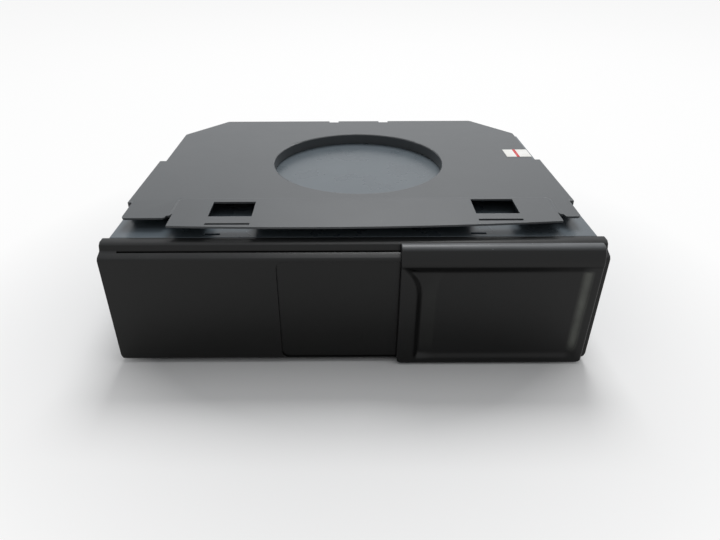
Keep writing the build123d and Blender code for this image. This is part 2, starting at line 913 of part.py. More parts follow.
def strip_ramp_block(foot_z):
    """Raised middle of the front zone: sloped at the back and both ends, open at the front."""
    fold_y = face_y + fold_setback
    layers = []
    for inset, z in ((0, foot_z), (strip_ramp, foot_z + strip_rise)):
        left = strip_left - strip_ramp + inset
        right = strip_right + strip_ramp - inset
        back = fold_y - inset
        outline = Polyline((left, face_y), (right, face_y), (right, back), (left, back), close=True)
        layer = make_face(outline)
        corners = layer.vertices().filter_by(lambda v: v.Y > fold_y - strip_ramp - plate_sheet)
        layers.append(Pos(0, 0, z) * fillet(corners, strip_corner))
    return loft(layers)


def plate_front():
    """Leaning zone ahead of the fold: a tab at each end and the raised strip with its windows and slits."""
    fold_y = face_y + fold_setback
    tab_y = face_y + tab_setback
    relief_y = face_y + relief_setback
    tab_half = plate_front_half - tab_inset
    ends = {-1: (strip_left, strip_left_setback), 1: (strip_right, strip_right_setback)}
    rim = ThreePointArc(
        (strip_left, face_y + strip_left_setback),
        ((strip_left + strip_right) / 2, face_y + strip_middle_setback),
        (strip_right, face_y + strip_right_setback),
    )
    for side, (end_x, setback) in ends.items():
        tab_x = plate_centre + side * tab_half
        relief_x = end_x + side * relief_width
        rim += Polyline(
            (end_x, face_y + setback), (end_x, relief_y), (relief_x, relief_y),
            (relief_x, tab_y), (tab_x, tab_y), (tab_x, fold_y),
        )
    rim += Line((plate_centre - tab_half, fold_y), (plate_centre + tab_half, fold_y))
    bottom = plate_under - 2 * strip_rise
    top = plate_top + 2 * strip_rise
    outline = flat_shape(rim, bottom, top)
    corners = outline.edges().filter_by(Axis.Z).filter_by(lambda e: abs(e.center().Y - tab_y) < label_sheet)
    outline = fillet(corners, tab_corner)
    span = (plate_centre - plate_front_half, plate_centre + plate_front_half, face_y, fold_y)
    zone = block(*span, plate_under, plate_top) + strip_ramp_block(plate_top)
    zone -= strip_ramp_block(plate_under)
    zone &= outline
    for side in (-1, 1):
        left = window_centre + side * window_half_pitch - window_width / 2
        near = face_y + window_setbacks[side]
        zone -= block(left, left + window_width, near, near + window_depth, bottom, top)
        near = face_y + slit_setbacks[side]
        zone -= block(left, left + window_width, near, near + slit_depth, bottom, top)
    return zone.rotate(Axis((0, fold_y, plate_top), (1, 0, 0)), front_tilt)


def plate_opening(plate):
    """The plate with its round opening: a wall down to the case and a rounded rim."""
    y = face_y + opening_setback
    rim_bottom = plate_top - rim_bend
    plate += upright(opening_x, y, rim_bottom, plate_top, opening_radius + rim_bend)
    plate += upright(opening_x, y, case_height + skirt_gap, rim_bottom, opening_radius + plate_sheet)
    plate -= upright(opening_x, y, case_height + skirt_gap, plate_top, opening_radius)
    rim = plate.edges().filter_by(GeomType.CIRCLE).filter_by(
        lambda e: abs(e.radius - opening_radius) < skirt_gap and e.center().Z > plate_under
    )
    return fillet(rim, rim_bend - running_gap)


def mounting_plate():
    """Plate on the case, open in the middle, skirted at the sides and back, with a leaning front zone."""
    skirt_bottom = case_height + skirt_gap
    plate = plate_field(0, skirt_bottom, plate_top)
    plate -= plate_field(plate_sheet, skirt_bottom, plate_under)
    tab_half = plate_front_half - tab_inset
    fold_y = face_y + fold_setback
    plate -= block(plate_centre - tab_half, plate_centre + tab_half, face_y, fold_y, skirt_bottom, plate_top)
    plate = plate_opening(plate + plate_front())
    back_y = face_y + plate_back_setback
    for side in (-1, 1):
        x = notch_centre + side * notch_half_pitch
        cut_in = notch_depth + plate_sheet
        plate += block(
            x - notch_width / 2 - plate_sheet, x + notch_width / 2 + plate_sheet,
            back_y - cut_in, back_y, skirt_bottom, plate_top,
        )
        plate -= block(
            x - notch_width / 2, x + notch_width / 2, back_y - notch_depth, back_y, skirt_bottom, plate_top,
        )
    for x, y in plate_bosses:
        plate += upright(x, y, case_height, plate_under, boss_plate_radius)
        plate -= upright(x, y, case_height, plate_under, screw_radius)
    return plate


def plate_screws():
    """Four screws up through the cover into the plate's bosses."""
    under = case_height - sheet
    screws = [
        upright(x, y, under, under + screw_length, screw_radius)
        + upright(x, y, under - screw_head, under, screw_head_radius)
        for x, y in plate_bosses
    ]
    return Compound(children=screws)


def plate_label():
    """Small blank label near the plate's right step, turned down over its edge."""
    edge = plate_centre + plate_rear_half
    near = face_y + plate_step_setback + label_gap
    label = block(edge - label_length, edge, near, near + label_width, plate_top, plate_top + label_sheet)
    return label + block(
        edge, edge + label_sheet, near, near + label_width,
        plate_under - plate_sheet, plate_top + label_sheet,
    )


# ================================================================ floating frame
def mech_frame():
    """Floating frame: floor, side walls, rear wall, front lip and the lift motor's shelf."""
    front = frame_front
    frame = block(frame_left, frame_right, front, frame_rear, frame_floor, frame_floor_top)
    frame += block(frame_left, bay_left, front, frame_rear, frame_floor_top, left_wall_low_top)
    frame += block(
        frame_left, bay_left, face_y + drive_bay_setback, frame_rear, frame_floor_top, left_wall_top,
    )
    frame += block(
        frame_right - frame_sheet, frame_right, front, frame_rear, frame_floor_top, right_wall_top,
    )
    frame += block(
        frame_left, frame_right, frame_rear - frame_sheet, frame_rear, frame_floor_top, rear_wall_top,
    )
    frame += block(
        frame_left, frame_right, front, front + frame_sheet, frame_floor_top, frame_floor_top + cross_lip,
    )
    frame += motor_shelf()
    for side in (-1, 1):
        for y in transport_ys:
            frame -= upright(side * transport_x, y, frame_floor, frame_floor_top, transport_radius)
    for x, y in posts:
        frame -= upright(x, y, frame_floor, frame_floor_top, post_radius)
    return frame


def motor_shelf():
    """Shelf in the rear left corner with a cradle for the lift motor."""
    gear_tip = wheel_teeth * wheel_module / 2 + wheel_module
    near = gear_y + gear_tip + shelf_clearance
    under = cam_top + 2 * lift_module + shelf_clearance
    shelf = block(
        bay_left, motor_left + lift_motor_length, near, frame_rear - frame_sheet, under, under + shelf_sheet,
    )
    shelf += block(
        motor_left + cradle_width / 2, motor_left + 2 * cradle_width, near, near + cradle_width,
        under + shelf_sheet, lift_motor_z,
    )
    return shelf - across(bay_left, magazine_left, lift_motor_y, lift_motor_z, lift_motor_radius)


def magazine_rails():
    """Two rails that the magazine slides on."""
    rails = []
    for x in (magazine_left + rail_inset, magazine_right - rail_inset - rail_width):
        rails.append(block(
            x, x + rail_width, frame_front + frame_sheet, frame_rear - frame_sheet,
            frame_floor_top, magazine_bottom - rail_gap,
        ))
    return Compound(children=rails)


damper_ys = [face_y + damper_front_setback, face_y + damper_rear_setback]


def dampers():
    """Four oil dampers between the case and the floating frame, two a side."""
    pieces = []
    for side in (-1, 1):
        case_side = side * inner_width / 2
        frame_side = side * (inner_width / 2 - suspension_gap)
        rim = frame_side + side * damper_rim
        for y in damper_ys:
            body = across(*sorted((case_side, frame_side)), y, damper_z, damper_core_radius)
            body += across(*sorted((case_side, (case_side + frame_side) / 2)), y, damper_z, damper_radius)
            pieces.append(body + across(*sorted((frame_side, rim)), y, damper_z, damper_radius))
    return Compound(children=pieces)


def damper_springs():
    """Spring sleeves round the dampers."""
    springs = []
    for side in (-1, 1):
        for y in damper_ys:
            span = sorted((side * inner_width / 2, side * (inner_width / 2 - suspension_gap)))
            springs.append(
                across(*span, y, damper_z, spring_outer) - across(*span, y, damper_z, spring_inner)
            )
    return Compound(children=springs)


# ================================================================ lift: posts, deck, cam and drive
deck_left = bay_left + cam_frame_gap + cam_sheet + cam_deck_gap
deck_right = magazine_left - deck_edge_gap
post_x = deck_left + deck_margin + boss_radius
posts = [
    (post_x, face_y + post_front_setback),
    (post_x, face_y + post_mid_setback),
    (magazine_left - post_rear_offset, face_y + post_rear_setback),
]
cam_left = bay_left + cam_frame_gap
cam_right = cam_left + cam_sheet
pin_z = park_z - pin_mid_drop
pin_ys = [face_y + pin_front_setback, face_y + pin_rear_setback]
stud_ys = [face_y + stud_front_setback, face_y + stud_rear_setback]
stud_z = pin_z + lift_travel + cam_edge
cam_top = stud_z + stud_radius + stud_slot_gap + 1.0
lift_pitch_z = cam_top + dedendum * lift_module
pinion_radius = pinion_teeth * lift_module / 2
gear_y = face_y + lift_gear_setback
gear_z = lift_pitch_z + pinion_radius
motor_pinion_radius = pinion_teeth * wheel_module / 2
motor_reach = (wheel_teeth + pinion_teeth) * wheel_module / 2
lift_motor_y = gear_y + motor_reach * math.cos(math.radians(lift_motor_angle))
lift_motor_z = gear_z + motor_reach * math.sin(math.radians(lift_motor_angle))
wheel_left = cam_right + gear_gap
wheel_right = wheel_left + wheel_sheet
motor_left = wheel_right + gear_gap
deck_under = park_z - deck_top_drop - deck_sheet
deck_top = park_z - deck_top_drop
hinge_x = deck_left + hinge_edge
hinge_z = park_z + hinge_rise
sled_left = spin_x - sled_near - sled_length
sled_right = spin_x - sled_near
sled_pinion_x = spin_x - sled_pinion_lead
sled_pinion_radius = pinion_teeth * sled_module / 2
sled_pinion_y = spin_y + sled_rack_offset + sled_pinion_radius


def guide_posts():
    """Three posts that the lift deck slides on."""
    top = park_z + lift_travel + post_top_margin
    return Compound(children=[upright(x, y, frame_floor, top, post_radius) for x, y in posts])


def lift_deck():
    """Deck that carries turntable, clamp and pickup up to the tray that is played."""
    deck = block(
        deck_left, deck_right, face_y + deck_front_setback, frame_rear - frame_sheet - deck_rear_gap,
        deck_under, deck_top,
    )
    for x, y in posts:
        deck += upright(x, y, park_z - boss_drop, park_z - boss_rise_drop, boss_radius)
        deck -= upright(x, y, park_z - boss_drop, park_z - boss_rise_drop, post_radius + running_gap)
    near = spin_x - sled_near + window_side_gap
    far = sled_left - sled_travel - window_side_gap
    side = sled_half_width + window_side_gap
    deck -= block(far, near, spin_y - side, spin_y + side, deck_under, deck_top)
    deck -= upright(spin_x, spin_y, deck_under, deck_top, hub_radius + hub_hole_gap)
    deck -= upright(sled_pinion_x, sled_pinion_y, deck_under, deck_top, shaft_radius + running_gap)
    for end in (-1, 1):
        for x in (near, far - rod_block):
            y = spin_y + end * rod_offset
            deck += block(
                x, x + rod_block, y - rod_block, y + rod_block,
                park_z - rod_drop - 2 * rod_radius, deck_under,
            )
            deck -= across(x, x + rod_block, y, park_z - rod_drop, rod_radius)
        inner = spin_y + end * (clamp_half_width + ear_gap)
        outer = inner + end * ear_sheet
        deck += block(
            hinge_x - ear_half_length, hinge_x + ear_half_length, *sorted((inner, outer)),
            deck_top, hinge_z + knuckle_radius,
        )
        deck -= lengthwise(hinge_x, *sorted((inner, outer)), hinge_z, hinge_pin_radius)
    for y in pin_ys:
        deck += across(deck_left - pin_length, deck_left, y, pin_z, pin_radius)
    for x in hook_stud_xs:
        deck += upright(x, hook_y, deck_top, hook_top + hook_edge_gap / 2, stud_radius)
        deck += upright(x, hook_y, hook_top + hook_edge_gap / 4, hook_top + hook_edge_gap, stud_head_radius)
    return deck


def lift_cam():
    """Sliding plate whose slanted slots raise the deck's pins, with a rack on its top edge."""
    front = pin_ys[0] - cam_ahead
    back = pin_ys[1] + cam_behind
    cam = block(cam_left, cam_right, front, back, pin_z - cam_edge, cam_top)
    width = 2 * (pin_radius + cam_slot_gap)
    for y in pin_ys:
        cam -= slanted_slot(cam_left, cam_right, y, pin_z, y + lift_travel, pin_z + lift_travel, width)
    stud_width = 2 * (stud_radius + stud_slot_gap)
    for y in stud_ys:
        cam -= slanted_slot(cam_left, cam_right, y, stud_z, y + lift_travel, stud_z, stud_width)
    teeth = rack(-cam_edge, back - gear_y, lift_module, cam_sheet, cam_sheet)
    place = Plane(origin=(cam_left, gear_y, lift_pitch_z), x_dir=(0, 1, 0), z_dir=(1, 0, 0))
    return cam + place.location * teeth


def cam_studs():
    """Two headed studs on the frame's wall that guide the cam."""
    studs = []
    for y in stud_ys:
        shank = across(bay_left, cam_right + cam_slot_gap, y, stud_z, stud_radius)
        studs.append(shank + across(
            cam_right + cam_slot_gap, cam_right + cam_slot_gap + stud_head, y, stud_z, stud_head_radius,
        ))
    return Compound(children=studs)


def lift_gear():
    """Pinion on the cam's rack and the larger wheel beside it, in one piece."""
    pinion = gear(pinion_teeth, lift_module, 0, cam_sheet, stub_radius + running_gap)
    sleeve = upright(0, 0, cam_sheet, cam_sheet + gear_gap, 2 * stub_radius)
    sleeve -= upright(0, 0, cam_sheet, cam_sheet + gear_gap, stub_radius + running_gap)
    wheel_z = cam_sheet + gear_gap
    wheel = gear(wheel_teeth, wheel_module, wheel_z, wheel_z + wheel_sheet, stub_radius + running_gap)
    toward_motor = Rot(0, 0, lift_motor_angle) * wheel
    place = Plane(origin=(cam_left, gear_y, gear_z), x_dir=(0, 1, 0), z_dir=(1, 0, 0))
    return place.location * (Rot(0, 0, -90) * pinion + sleeve + toward_motor)


def gear_stub():
    """Stub shaft on the frame's wall that the lift gear turns on."""
    end = wheel_right + gear_gap
    stub = across(bay_left, end, gear_y, gear_z, stub_radius)
    return stub + across(wheel_right + gear_gap / 2, end, gear_y, gear_z, 1.5 * stub_radius)


def lift_motor():
    """Small motor that drives the lift gear."""
    body = across(motor_left, motor_left + lift_motor_length, lift_motor_y, lift_motor_z, lift_motor_radius)
    middle = motor_left + lift_motor_length / 2
    return body - across(motor_left, middle, lift_motor_y, lift_motor_z, shaft_radius + running_gap)


def motor_pinion():
    """Pinion and shaft of the lift motor."""
    half_pitch = 180 / pinion_teeth
    pinion = Rot(0, 0, lift_motor_angle + half_pitch) * gear(
        pinion_teeth, wheel_module, 0, wheel_sheet, shaft_radius,
    )
    shaft = upright(0, 0, 0, wheel_sheet + gear_gap + lift_motor_length / 3, shaft_radius)
    place = Plane(origin=(wheel_left, lift_motor_y, lift_motor_z), x_dir=(0, 1, 0), z_dir=(1, 0, 0))
    return place.location * (pinion + shaft)


# ================================================================ turntable, clamp and pickup
def spindle_motor():
    """Flat motor under the deck that spins the disc."""
    top = deck_under
    motor = upright(spin_x, spin_y, park_z - deck_drop + spindle_motor_gap, top, spindle_motor_radius)
    return motor - upright(
        spin_x, spin_y, park_z - deck_drop + sheet, top, shaft_radius + running_gap,
    )


def turntable():
    """Flange and centring cone that carry the played disc, on the spindle motor's shaft."""
    table = upright(spin_x, spin_y, park_z - flange_sheet, park_z, flange_radius)
    cone = Pos(spin_x, spin_y, park_z + cone_height / 2) * Cone(cone_radius, cone_top_radius, cone_height)
    table += cone
    table += upright(spin_x, spin_y, deck_under + spindle_motor_gap, park_z - flange_sheet, hub_radius)
    return table + upright(
        spin_x, spin_y, park_z - deck_drop + 2 * sheet, deck_under + spindle_motor_gap, shaft_radius,
    )


def clamp_arm():
    """Arm over the turntable, hinged at its left end, open for the puck at its tip."""
    under = park_z + clamp_underside
    top = park_z + clamp_top
    tip = spin_x + clamp_tip_reach
    arm = plan_profile(
        [
            (hinge_x, spin_y - clamp_half_width), (spin_x, spin_y - clamp_tip_half_width),
            (tip, spin_y - clamp_tip_half_width), (tip, spin_y + clamp_tip_half_width),
            (spin_x, spin_y + clamp_tip_half_width), (hinge_x, spin_y + clamp_half_width),
        ],
        under, top,
    )
    near = spin_y - clamp_half_width
    far = spin_y + clamp_half_width
    arm += lengthwise(hinge_x, near, far, hinge_z, knuckle_radius)
    arm -= lengthwise(hinge_x, near, far, hinge_z, hinge_pin_radius + running_gap)
    seat = top - puck_head - puck_head_gap
    arm -= upright(spin_x, spin_y, seat, top, puck_head_radius + puck_head_gap)
    return arm - upright(spin_x, spin_y, under, seat, puck_neck_radius + running_gap)


def clamp_pin():
    """Hinge pin of the clamp arm, held in the deck's ears."""
    half = clamp_half_width + ear_gap + ear_sheet
    return lengthwise(hinge_x, spin_y - half, spin_y + half, hinge_z, hinge_pin_radius)


def clamp_puck():
    """Puck that presses the disc on the turntable and spins with it."""
    under = park_z + puck_underside
    puck = upright(spin_x, spin_y, under, under + puck_sheet, puck_radius)
    puck -= upright(spin_x, spin_y, under, under + puck_recess, puck_recess_radius)
    top = park_z + clamp_top
    puck += upright(spin_x, spin_y, under + puck_sheet, top - puck_head, puck_neck_radius)
    return puck + upright(spin_x, spin_y, top - puck_head, top, puck_head_radius)


def pickup_sled():
    """Optical pickup's body on its two rods, with a rack on one side."""
    top = park_z - sled_top_drop
    sled = block(
        sled_left, sled_right, spin_y - sled_half_width, spin_y + sled_half_width,
        park_z - sled_bottom_drop, top,
    )
    lens_x = spin_x - lens_offset
    sled += upright(lens_x, spin_y, top, top + (sled_top_drop - lens_top_drop) / 2, lens_radius + rod_radius)
    sled -= upright(lens_x, spin_y, top - sheet, park_z, lens_radius)
    for end in (-1, 1):
        sled -= across(
            sled_left, sled_right, spin_y + end * rod_offset, park_z - rod_drop, rod_radius + running_gap,
        )
    lead = sled_left - 2 * sheet - sled_pinion_x
    length = sled_travel + 3 * sled_pinion_radius
    back = sled_rack_offset - dedendum * sled_module - rod_offset
    teeth = rack(lead, lead + length, sled_module, sled_rack_sheet, back)
    return sled + Pos(sled_pinion_x, spin_y + sled_rack_offset, park_z - sled_rack_drop) * teeth


def pickup_lens():
    """Objective lens of the pickup."""
    top = park_z - sled_top_drop
    return upright(spin_x - lens_offset, spin_y, top - sheet, park_z - lens_top_drop, lens_radius)


def sled_rods():
    """Two rods that the pickup slides on."""
    near = spin_x - sled_near + window_side_gap + rod_block
    far = sled_left - sled_travel - window_side_gap - rod_block
    return Compound(children=[
        across(far, near, spin_y + end * rod_offset, park_z - rod_drop, rod_radius) for end in (-1, 1)
    ])


def sled_motor():
    """Motor under the deck that moves the pickup."""
    motor = upright(
        sled_pinion_x, sled_pinion_y, park_z - deck_drop + spindle_motor_gap, deck_under, sled_motor_radius,
    )
    return motor - upright(
        sled_pinion_x, sled_pinion_y, park_z - deck_drop + sheet, deck_under, shaft_radius + running_gap,
    )


def sled_pinion():
    """Pinion on the sled motor's shaft, in mesh with the pickup's rack."""
    low = park_z - sled_rack_drop
    pinion = gear(pinion_teeth, sled_module, low, low + sled_rack_sheet, shaft_radius)
    shaft = upright(0, 0, park_z - deck_drop + 2 * sheet, low + sled_rack_sheet, shaft_radius)
    return spun(sled_pinion_x, sled_pinion_y, -90, pinion + shaft)


hook_y = face_y + hook_setback
hook_right = deck_right - hook_edge_gap
hook_left = hook_right - hook_length
hook_low = park_z - hook_sheet_drop
hook_top = hook_low + hook_plate
hook_stud_x = hook_left + stud_radius + hook_slot_end
hook_stud_xs = [hook_stud_x, hook_stud_x + hook_stud_spacing]


def tray_hook():
    """Sliding hook on the deck that draws a tray out of the magazine and pushes it back."""
    hook = block(hook_left, hook_right, hook_y - hook_width / 2, hook_y + hook_width / 2, hook_low, hook_top)
    hook += block(
        hook_right - hook_finger, hook_right, hook_y - hook_width / 2, hook_y + hook_width / 2,
        hook_top, park_z + hook_finger_rise,
    )
    width = 2 * (stud_radius + stud_slot_gap)
    return hook - obround_z(hook_stud_xs[0], hook_stud_xs[1] + hook_travel, hook_y, width, hook_low, hook_top)


# ================================================================ magazine
tray_floors = [first_tray_z + number * tray_pitch for number in range(tray_count)]
ledge_sheet = tray_pitch - tray_height - 2 * tray_seat_gap


def magazine_case():
    """Floor, front, right and rear walls of the magazine, with a ledge under each tray."""
    top = magazine_top - magazine_floor
    case = block(
        magazine_left, magazine_right, magazine_front, magazine_rear,
        magazine_bottom, magazine_bottom + magazine_floor,
    )
    low = magazine_bottom + magazine_floor
    case += block(magazine_right - magazine_wall, magazine_right, magazine_front, magazine_rear, low, top)
    case += block(magazine_left, magazine_right, magazine_front, magazine_front + magazine_wall, low, top)
    case += block(magazine_left, magazine_right, magazine_rear - magazine_wall, magazine_rear, low, top)
    for floor in tray_floors[1:]:
        case += block(
            magazine_right - magazine_wall - ledge_width, magazine_right - magazine_wall,
            magazine_front + magazine_wall, magazine_rear - magazine_wall,
            floor - tray_seat_gap - ledge_sheet, floor - tray_seat_gap,
        )
    middle = (magazine_left + magazine_right) / 2
    height = (magazine_bottom + magazine_top) / 2
    case -= block(
        middle - grip_width / 2, middle + grip_width / 2,
        magazine_front, magazine_front + grip_depth,
        height - grip_height / 2, height + grip_height / 2,
    )
    return case - upright(pivot_x, pivot_y, magazine_bottom, low, magazine_pin_radius)


def magazine_lid():
    """Top plate of the magazine."""
    lid = block(
        magazine_left, magazine_right, magazine_front, magazine_rear,
        magazine_top - magazine_floor, magazine_top,
    )
    return lid - upright(pivot_x, pivot_y, magazine_top - magazine_floor, magazine_top, magazine_pin_radius)


def magazine_pin():
    """Pin in the magazine's rear left corner that all six trays turn on."""
    return upright(pivot_x, pivot_y, magazine_bottom, magazine_top, magazine_pin_radius)


def tray(number):
    """Swinging tray: ring round the disc, floor with a window and slot, and a hub on the pin."""
    low = tray_floors[number]
    top = low + tray_height
    span = math.hypot(disc_x - pivot_x, disc_y - pivot_y)
    turn = rest_angle
    web = plan_profile(
        [
            (0, -tray_hub_radius), (span, -tray_web_width / 2),
            (span, tray_web_width / 2), (0, tray_hub_radius),
        ],
        low, top,
    )
    body = upright(disc_x, disc_y, low, top, tray_radius)
    body += spun(pivot_x, pivot_y, turn, web)
    body += upright(pivot_x, pivot_y, low, top, tray_hub_radius)
    body -= upright(disc_x, disc_y, low + tray_floor, top, disc_radius + tray_disc_gap)
    body -= upright(disc_x, disc_y, low, top, tray_window_radius)
    slot_end = disc_radius - 2 * tray_rim
    slot = obround_z(-slot_end, 0, 0, tray_slot_width, low, low + tray_floor)
    body -= spun(disc_x, disc_y, tray_swing, slot)
    return body - upright(pivot_x, pivot_y, low, top, magazine_pin_radius + running_gap)


def disc(number):
    """Compact disc in its tray."""
    low = tray_floors[number] + tray_floor
    top = low + disc_thickness
    return upright(disc_x, disc_y, low, top, disc_radius) - upright(disc_x, disc_y, low, top, disc_bore / 2)


# ================================================================ ejector
ejector_low = frame_floor_top + ejector_gap
ejector_top = ejector_low + ejector_sheet
ejector_back = magazine_rear + ejector_finger_gap + ejector_finger
ejector_front = ejector_back - ejector_length
ejector_rack_x = ejector_x + ejector_width / 2
eject_pinion_x = ejector_rack_x + pinion_radius
eject_pinion_y = ejector_back - eject_pinion_lead


def ejector():
    """Slide under the magazine whose rear finger pushes the magazine out."""
    left = ejector_x - ejector_width / 2
    inner = ejector_rack_x - dedendum * lift_module
    slide = block(left, inner, ejector_front, ejector_back, ejector_low, ejector_top)
    slide += block(
        left, inner, ejector_back - ejector_finger, ejector_back,
        ejector_top, magazine_bottom + ejector_finger_rise,
    )
    teeth = rack(
        -2 * lift_module, ejector_back - eject_pinion_y - ejector_finger, lift_module, ejector_sheet, sheet,
    )
    place = Plane(
        origin=(ejector_rack_x, eject_pinion_y, ejector_top), x_dir=(0, 1, 0), z_dir=(0, 0, -1),
    )
    return slide + place.location * teeth


def eject_motor():
    """Motor over the frame's floor that drives the ejector."""
    low = ejector_top + ejector_gap
    motor = upright(eject_pinion_x, eject_pinion_y, low, low + eject_motor_length, eject_motor_radius)
    foot = block(
        eject_pinion_x + eject_motor_radius - sheet / 2, eject_pinion_x + eject_motor_radius + 2 * sheet,
        eject_pinion_y - eject_motor_radius, eject_pinion_y + eject_motor_radius,
        frame_floor_top, low + eject_motor_length,
    )
    return motor + foot - upright(
        eject_pinion_x, eject_pinion_y, low, low + eject_motor_length / 2, shaft_radius + running_gap,
    )


def eject_pinion():
    """Pinion and shaft of the eject motor."""
    pinion = gear(pinion_teeth, lift_module, ejector_low, ejector_top, shaft_radius)
    top = ejector_top + ejector_gap + eject_motor_length / 3
    shaft = upright(0, 0, ejector_low, top, shaft_radius)
    return spun(eject_pinion_x, eject_pinion_y, 180, pinion + shaft)


# ================================================================ main board
board_top = case_height - sheet - board_stud_length
board_low = board_top - board_sheet
board_right = magazine_right - board_right_gap
board_front = face_y + board_front_setback
board_rear = rear_y - sheet - board_rear_gap
board_stud_places = [
    (x, y)
    for x in (board_left + board_stud_inset, board_right - board_stud_inset)
    for y in (board_front + board_stud_inset, board_rear - board_stud_inset)
]


def main_board():
    """Main circuit board, hung from the cover over the magazine."""
    return block(board_left, board_right, board_front, board_rear, board_low, board_top)


def board_studs():
    """Four studs that hang the main board from the cover."""
    top = case_height - sheet
    return Compound(children=[
        upright(x, y, board_top, top, board_stud_radius) for x, y in board_stud_places
    ])


# each as its place in shares of the board's width and depth, then its size and height
board_chips = [
    (0.28, 0.30, 20.0, 14.0, 2.4),
    (0.62, 0.28, 14.0, 14.0, 2.0),
    (0.45, 0.62, 12.0, 18.0, 2.2),
    (0.80, 0.66, 10.0, 20.0, 3.0),
    (0.16, 0.78, 8.0, 26.0, 7.0),
    (0.84, 0.16, 22.0, 6.0, 6.0),
]
board_cans = [(0.12, 0.20), (0.12, 0.34), (0.66, 0.84), (0.76, 0.88), (0.36, 0.86)]
board_can_radius = 3.5
board_can_height = 8.0


def board_parts():
    """Chips, connectors and capacitors under the main board."""
    width = board_right - board_left
    depth = board_rear - board_front
    pieces = []
    for across_share, depth_share, size_x, size_y, height in board_chips:
        x = board_left + across_share * width
        y = board_front + depth_share * depth
        pieces.append(block(
            x - size_x / 2, x + size_x / 2, y - size_y / 2, y + size_y / 2, board_low - height, board_low,
        ))
    for across_share, depth_share in board_cans:
        x = board_left + across_share * width
        y = board_front + depth_share * depth
        pieces.append(upright(x, y, board_low - board_can_height, board_low, board_can_radius))
    return Compound(children=pieces)


# ================================================================ write every piece
nodes = {
    "base_plate": base_plate(),
    "case_walls": case_walls(),
    "top_cover": top_cover(),
    "case_screws": case_screws(),
    "side_nuts": side_nuts(),
    "transport_screws": transport_screws(),
    "rear_socket": rear_socket(),
    "front_fascia": front_fascia(),
    "sliding_door": sliding_door(),
    "inner_shutter": inner_shutter(),
    "eject_button": eject_button(),
    "eject_switch": eject_switch(),
    "front_board": front_board(),
    "mounting_plate": mounting_plate(),
    "plate_screws": plate_screws(),
    "plate_label": plate_label(),
    "mech_frame": mech_frame(),
    "magazine_rails": magazine_rails(),
    "dampers": dampers(),
    "damper_springs": damper_springs(),
    "guide_posts": guide_posts(),
    "lift_deck": lift_deck(),
    "lift_cam": lift_cam(),
    "cam_studs": cam_studs(),
    "lift_gear": lift_gear(),
    "gear_stub": gear_stub(),
    "lift_motor": lift_motor(),
    "motor_pinion": motor_pinion(),
    "spindle_motor": spindle_motor(),
    "turntable": turntable(),
    "clamp_arm": clamp_arm(),
    "clamp_pin": clamp_pin(),
    "clamp_puck": clamp_puck(),
    "pickup_sled": pickup_sled(),
    "pickup_lens": pickup_lens(),
    "sled_rods": sled_rods(),
    "sled_motor": sled_motor(),
    "sled_pinion": sled_pinion(),
    "tray_hook": tray_hook(),
    "magazine_case": magazine_case(),
    "magazine_lid": magazine_lid(),
    "magazine_pin": magazine_pin(),
    "ejector": ejector(),
    "eject_motor": eject_motor(),
    "eject_pinion": eject_pinion(),
    "main_board": main_board(),
    "board_studs": board_studs(),
    "board_parts": board_parts(),
}
for number in range(tray_count):
    nodes[f"tray_{number + 1}"] = tray(number)
    nodes[f"disc_{number + 1}"] = disc(number)
for name, shape in nodes.items():
    export_step(shape, f"parts/{name}.step")

print("pieces", len(nodes))
print("case", round(case_width, 2), round(body_depth, 2), round(case_height, 2))
print("door", round(door_left, 2), round(door_right, 2), "travel", round(door_travel, 2))
print("shutter travel", round(shutter_travel, 2), "lift travel", round(lift_travel, 3))
print("pivot", round(pivot_x, 3), round(pivot_y, 3), "turntable", round(spin_x, 3), round(spin_y, 3))
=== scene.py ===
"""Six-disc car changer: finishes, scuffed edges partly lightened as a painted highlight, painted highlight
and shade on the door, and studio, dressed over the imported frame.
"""
import json
import math

import bpy
import bmesh
from mathutils import Matrix, Vector


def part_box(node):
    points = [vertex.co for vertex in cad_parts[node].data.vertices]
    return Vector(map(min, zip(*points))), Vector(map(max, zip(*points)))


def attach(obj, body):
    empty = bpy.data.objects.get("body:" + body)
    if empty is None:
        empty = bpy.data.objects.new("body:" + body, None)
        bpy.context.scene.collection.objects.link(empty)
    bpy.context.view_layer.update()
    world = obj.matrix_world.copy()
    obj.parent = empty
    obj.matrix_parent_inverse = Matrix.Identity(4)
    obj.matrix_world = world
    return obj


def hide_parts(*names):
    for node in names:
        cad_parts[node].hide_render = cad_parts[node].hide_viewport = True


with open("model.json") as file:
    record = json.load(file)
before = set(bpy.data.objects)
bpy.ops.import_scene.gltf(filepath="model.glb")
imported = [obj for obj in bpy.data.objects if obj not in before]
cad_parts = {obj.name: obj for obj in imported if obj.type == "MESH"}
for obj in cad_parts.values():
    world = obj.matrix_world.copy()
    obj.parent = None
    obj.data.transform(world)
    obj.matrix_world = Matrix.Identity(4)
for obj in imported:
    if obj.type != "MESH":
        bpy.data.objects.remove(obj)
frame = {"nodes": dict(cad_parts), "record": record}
nodes = frame["nodes"]
body_of_node = {n: body for body, names in frame["record"]["behaviour"]["bodies"].items() for n in names}
slot_of_node = {row["node"]: row["material_slot"] for row in frame["record"]["subparts"]}
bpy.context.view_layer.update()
scene = bpy.context.scene
mm = 0.001


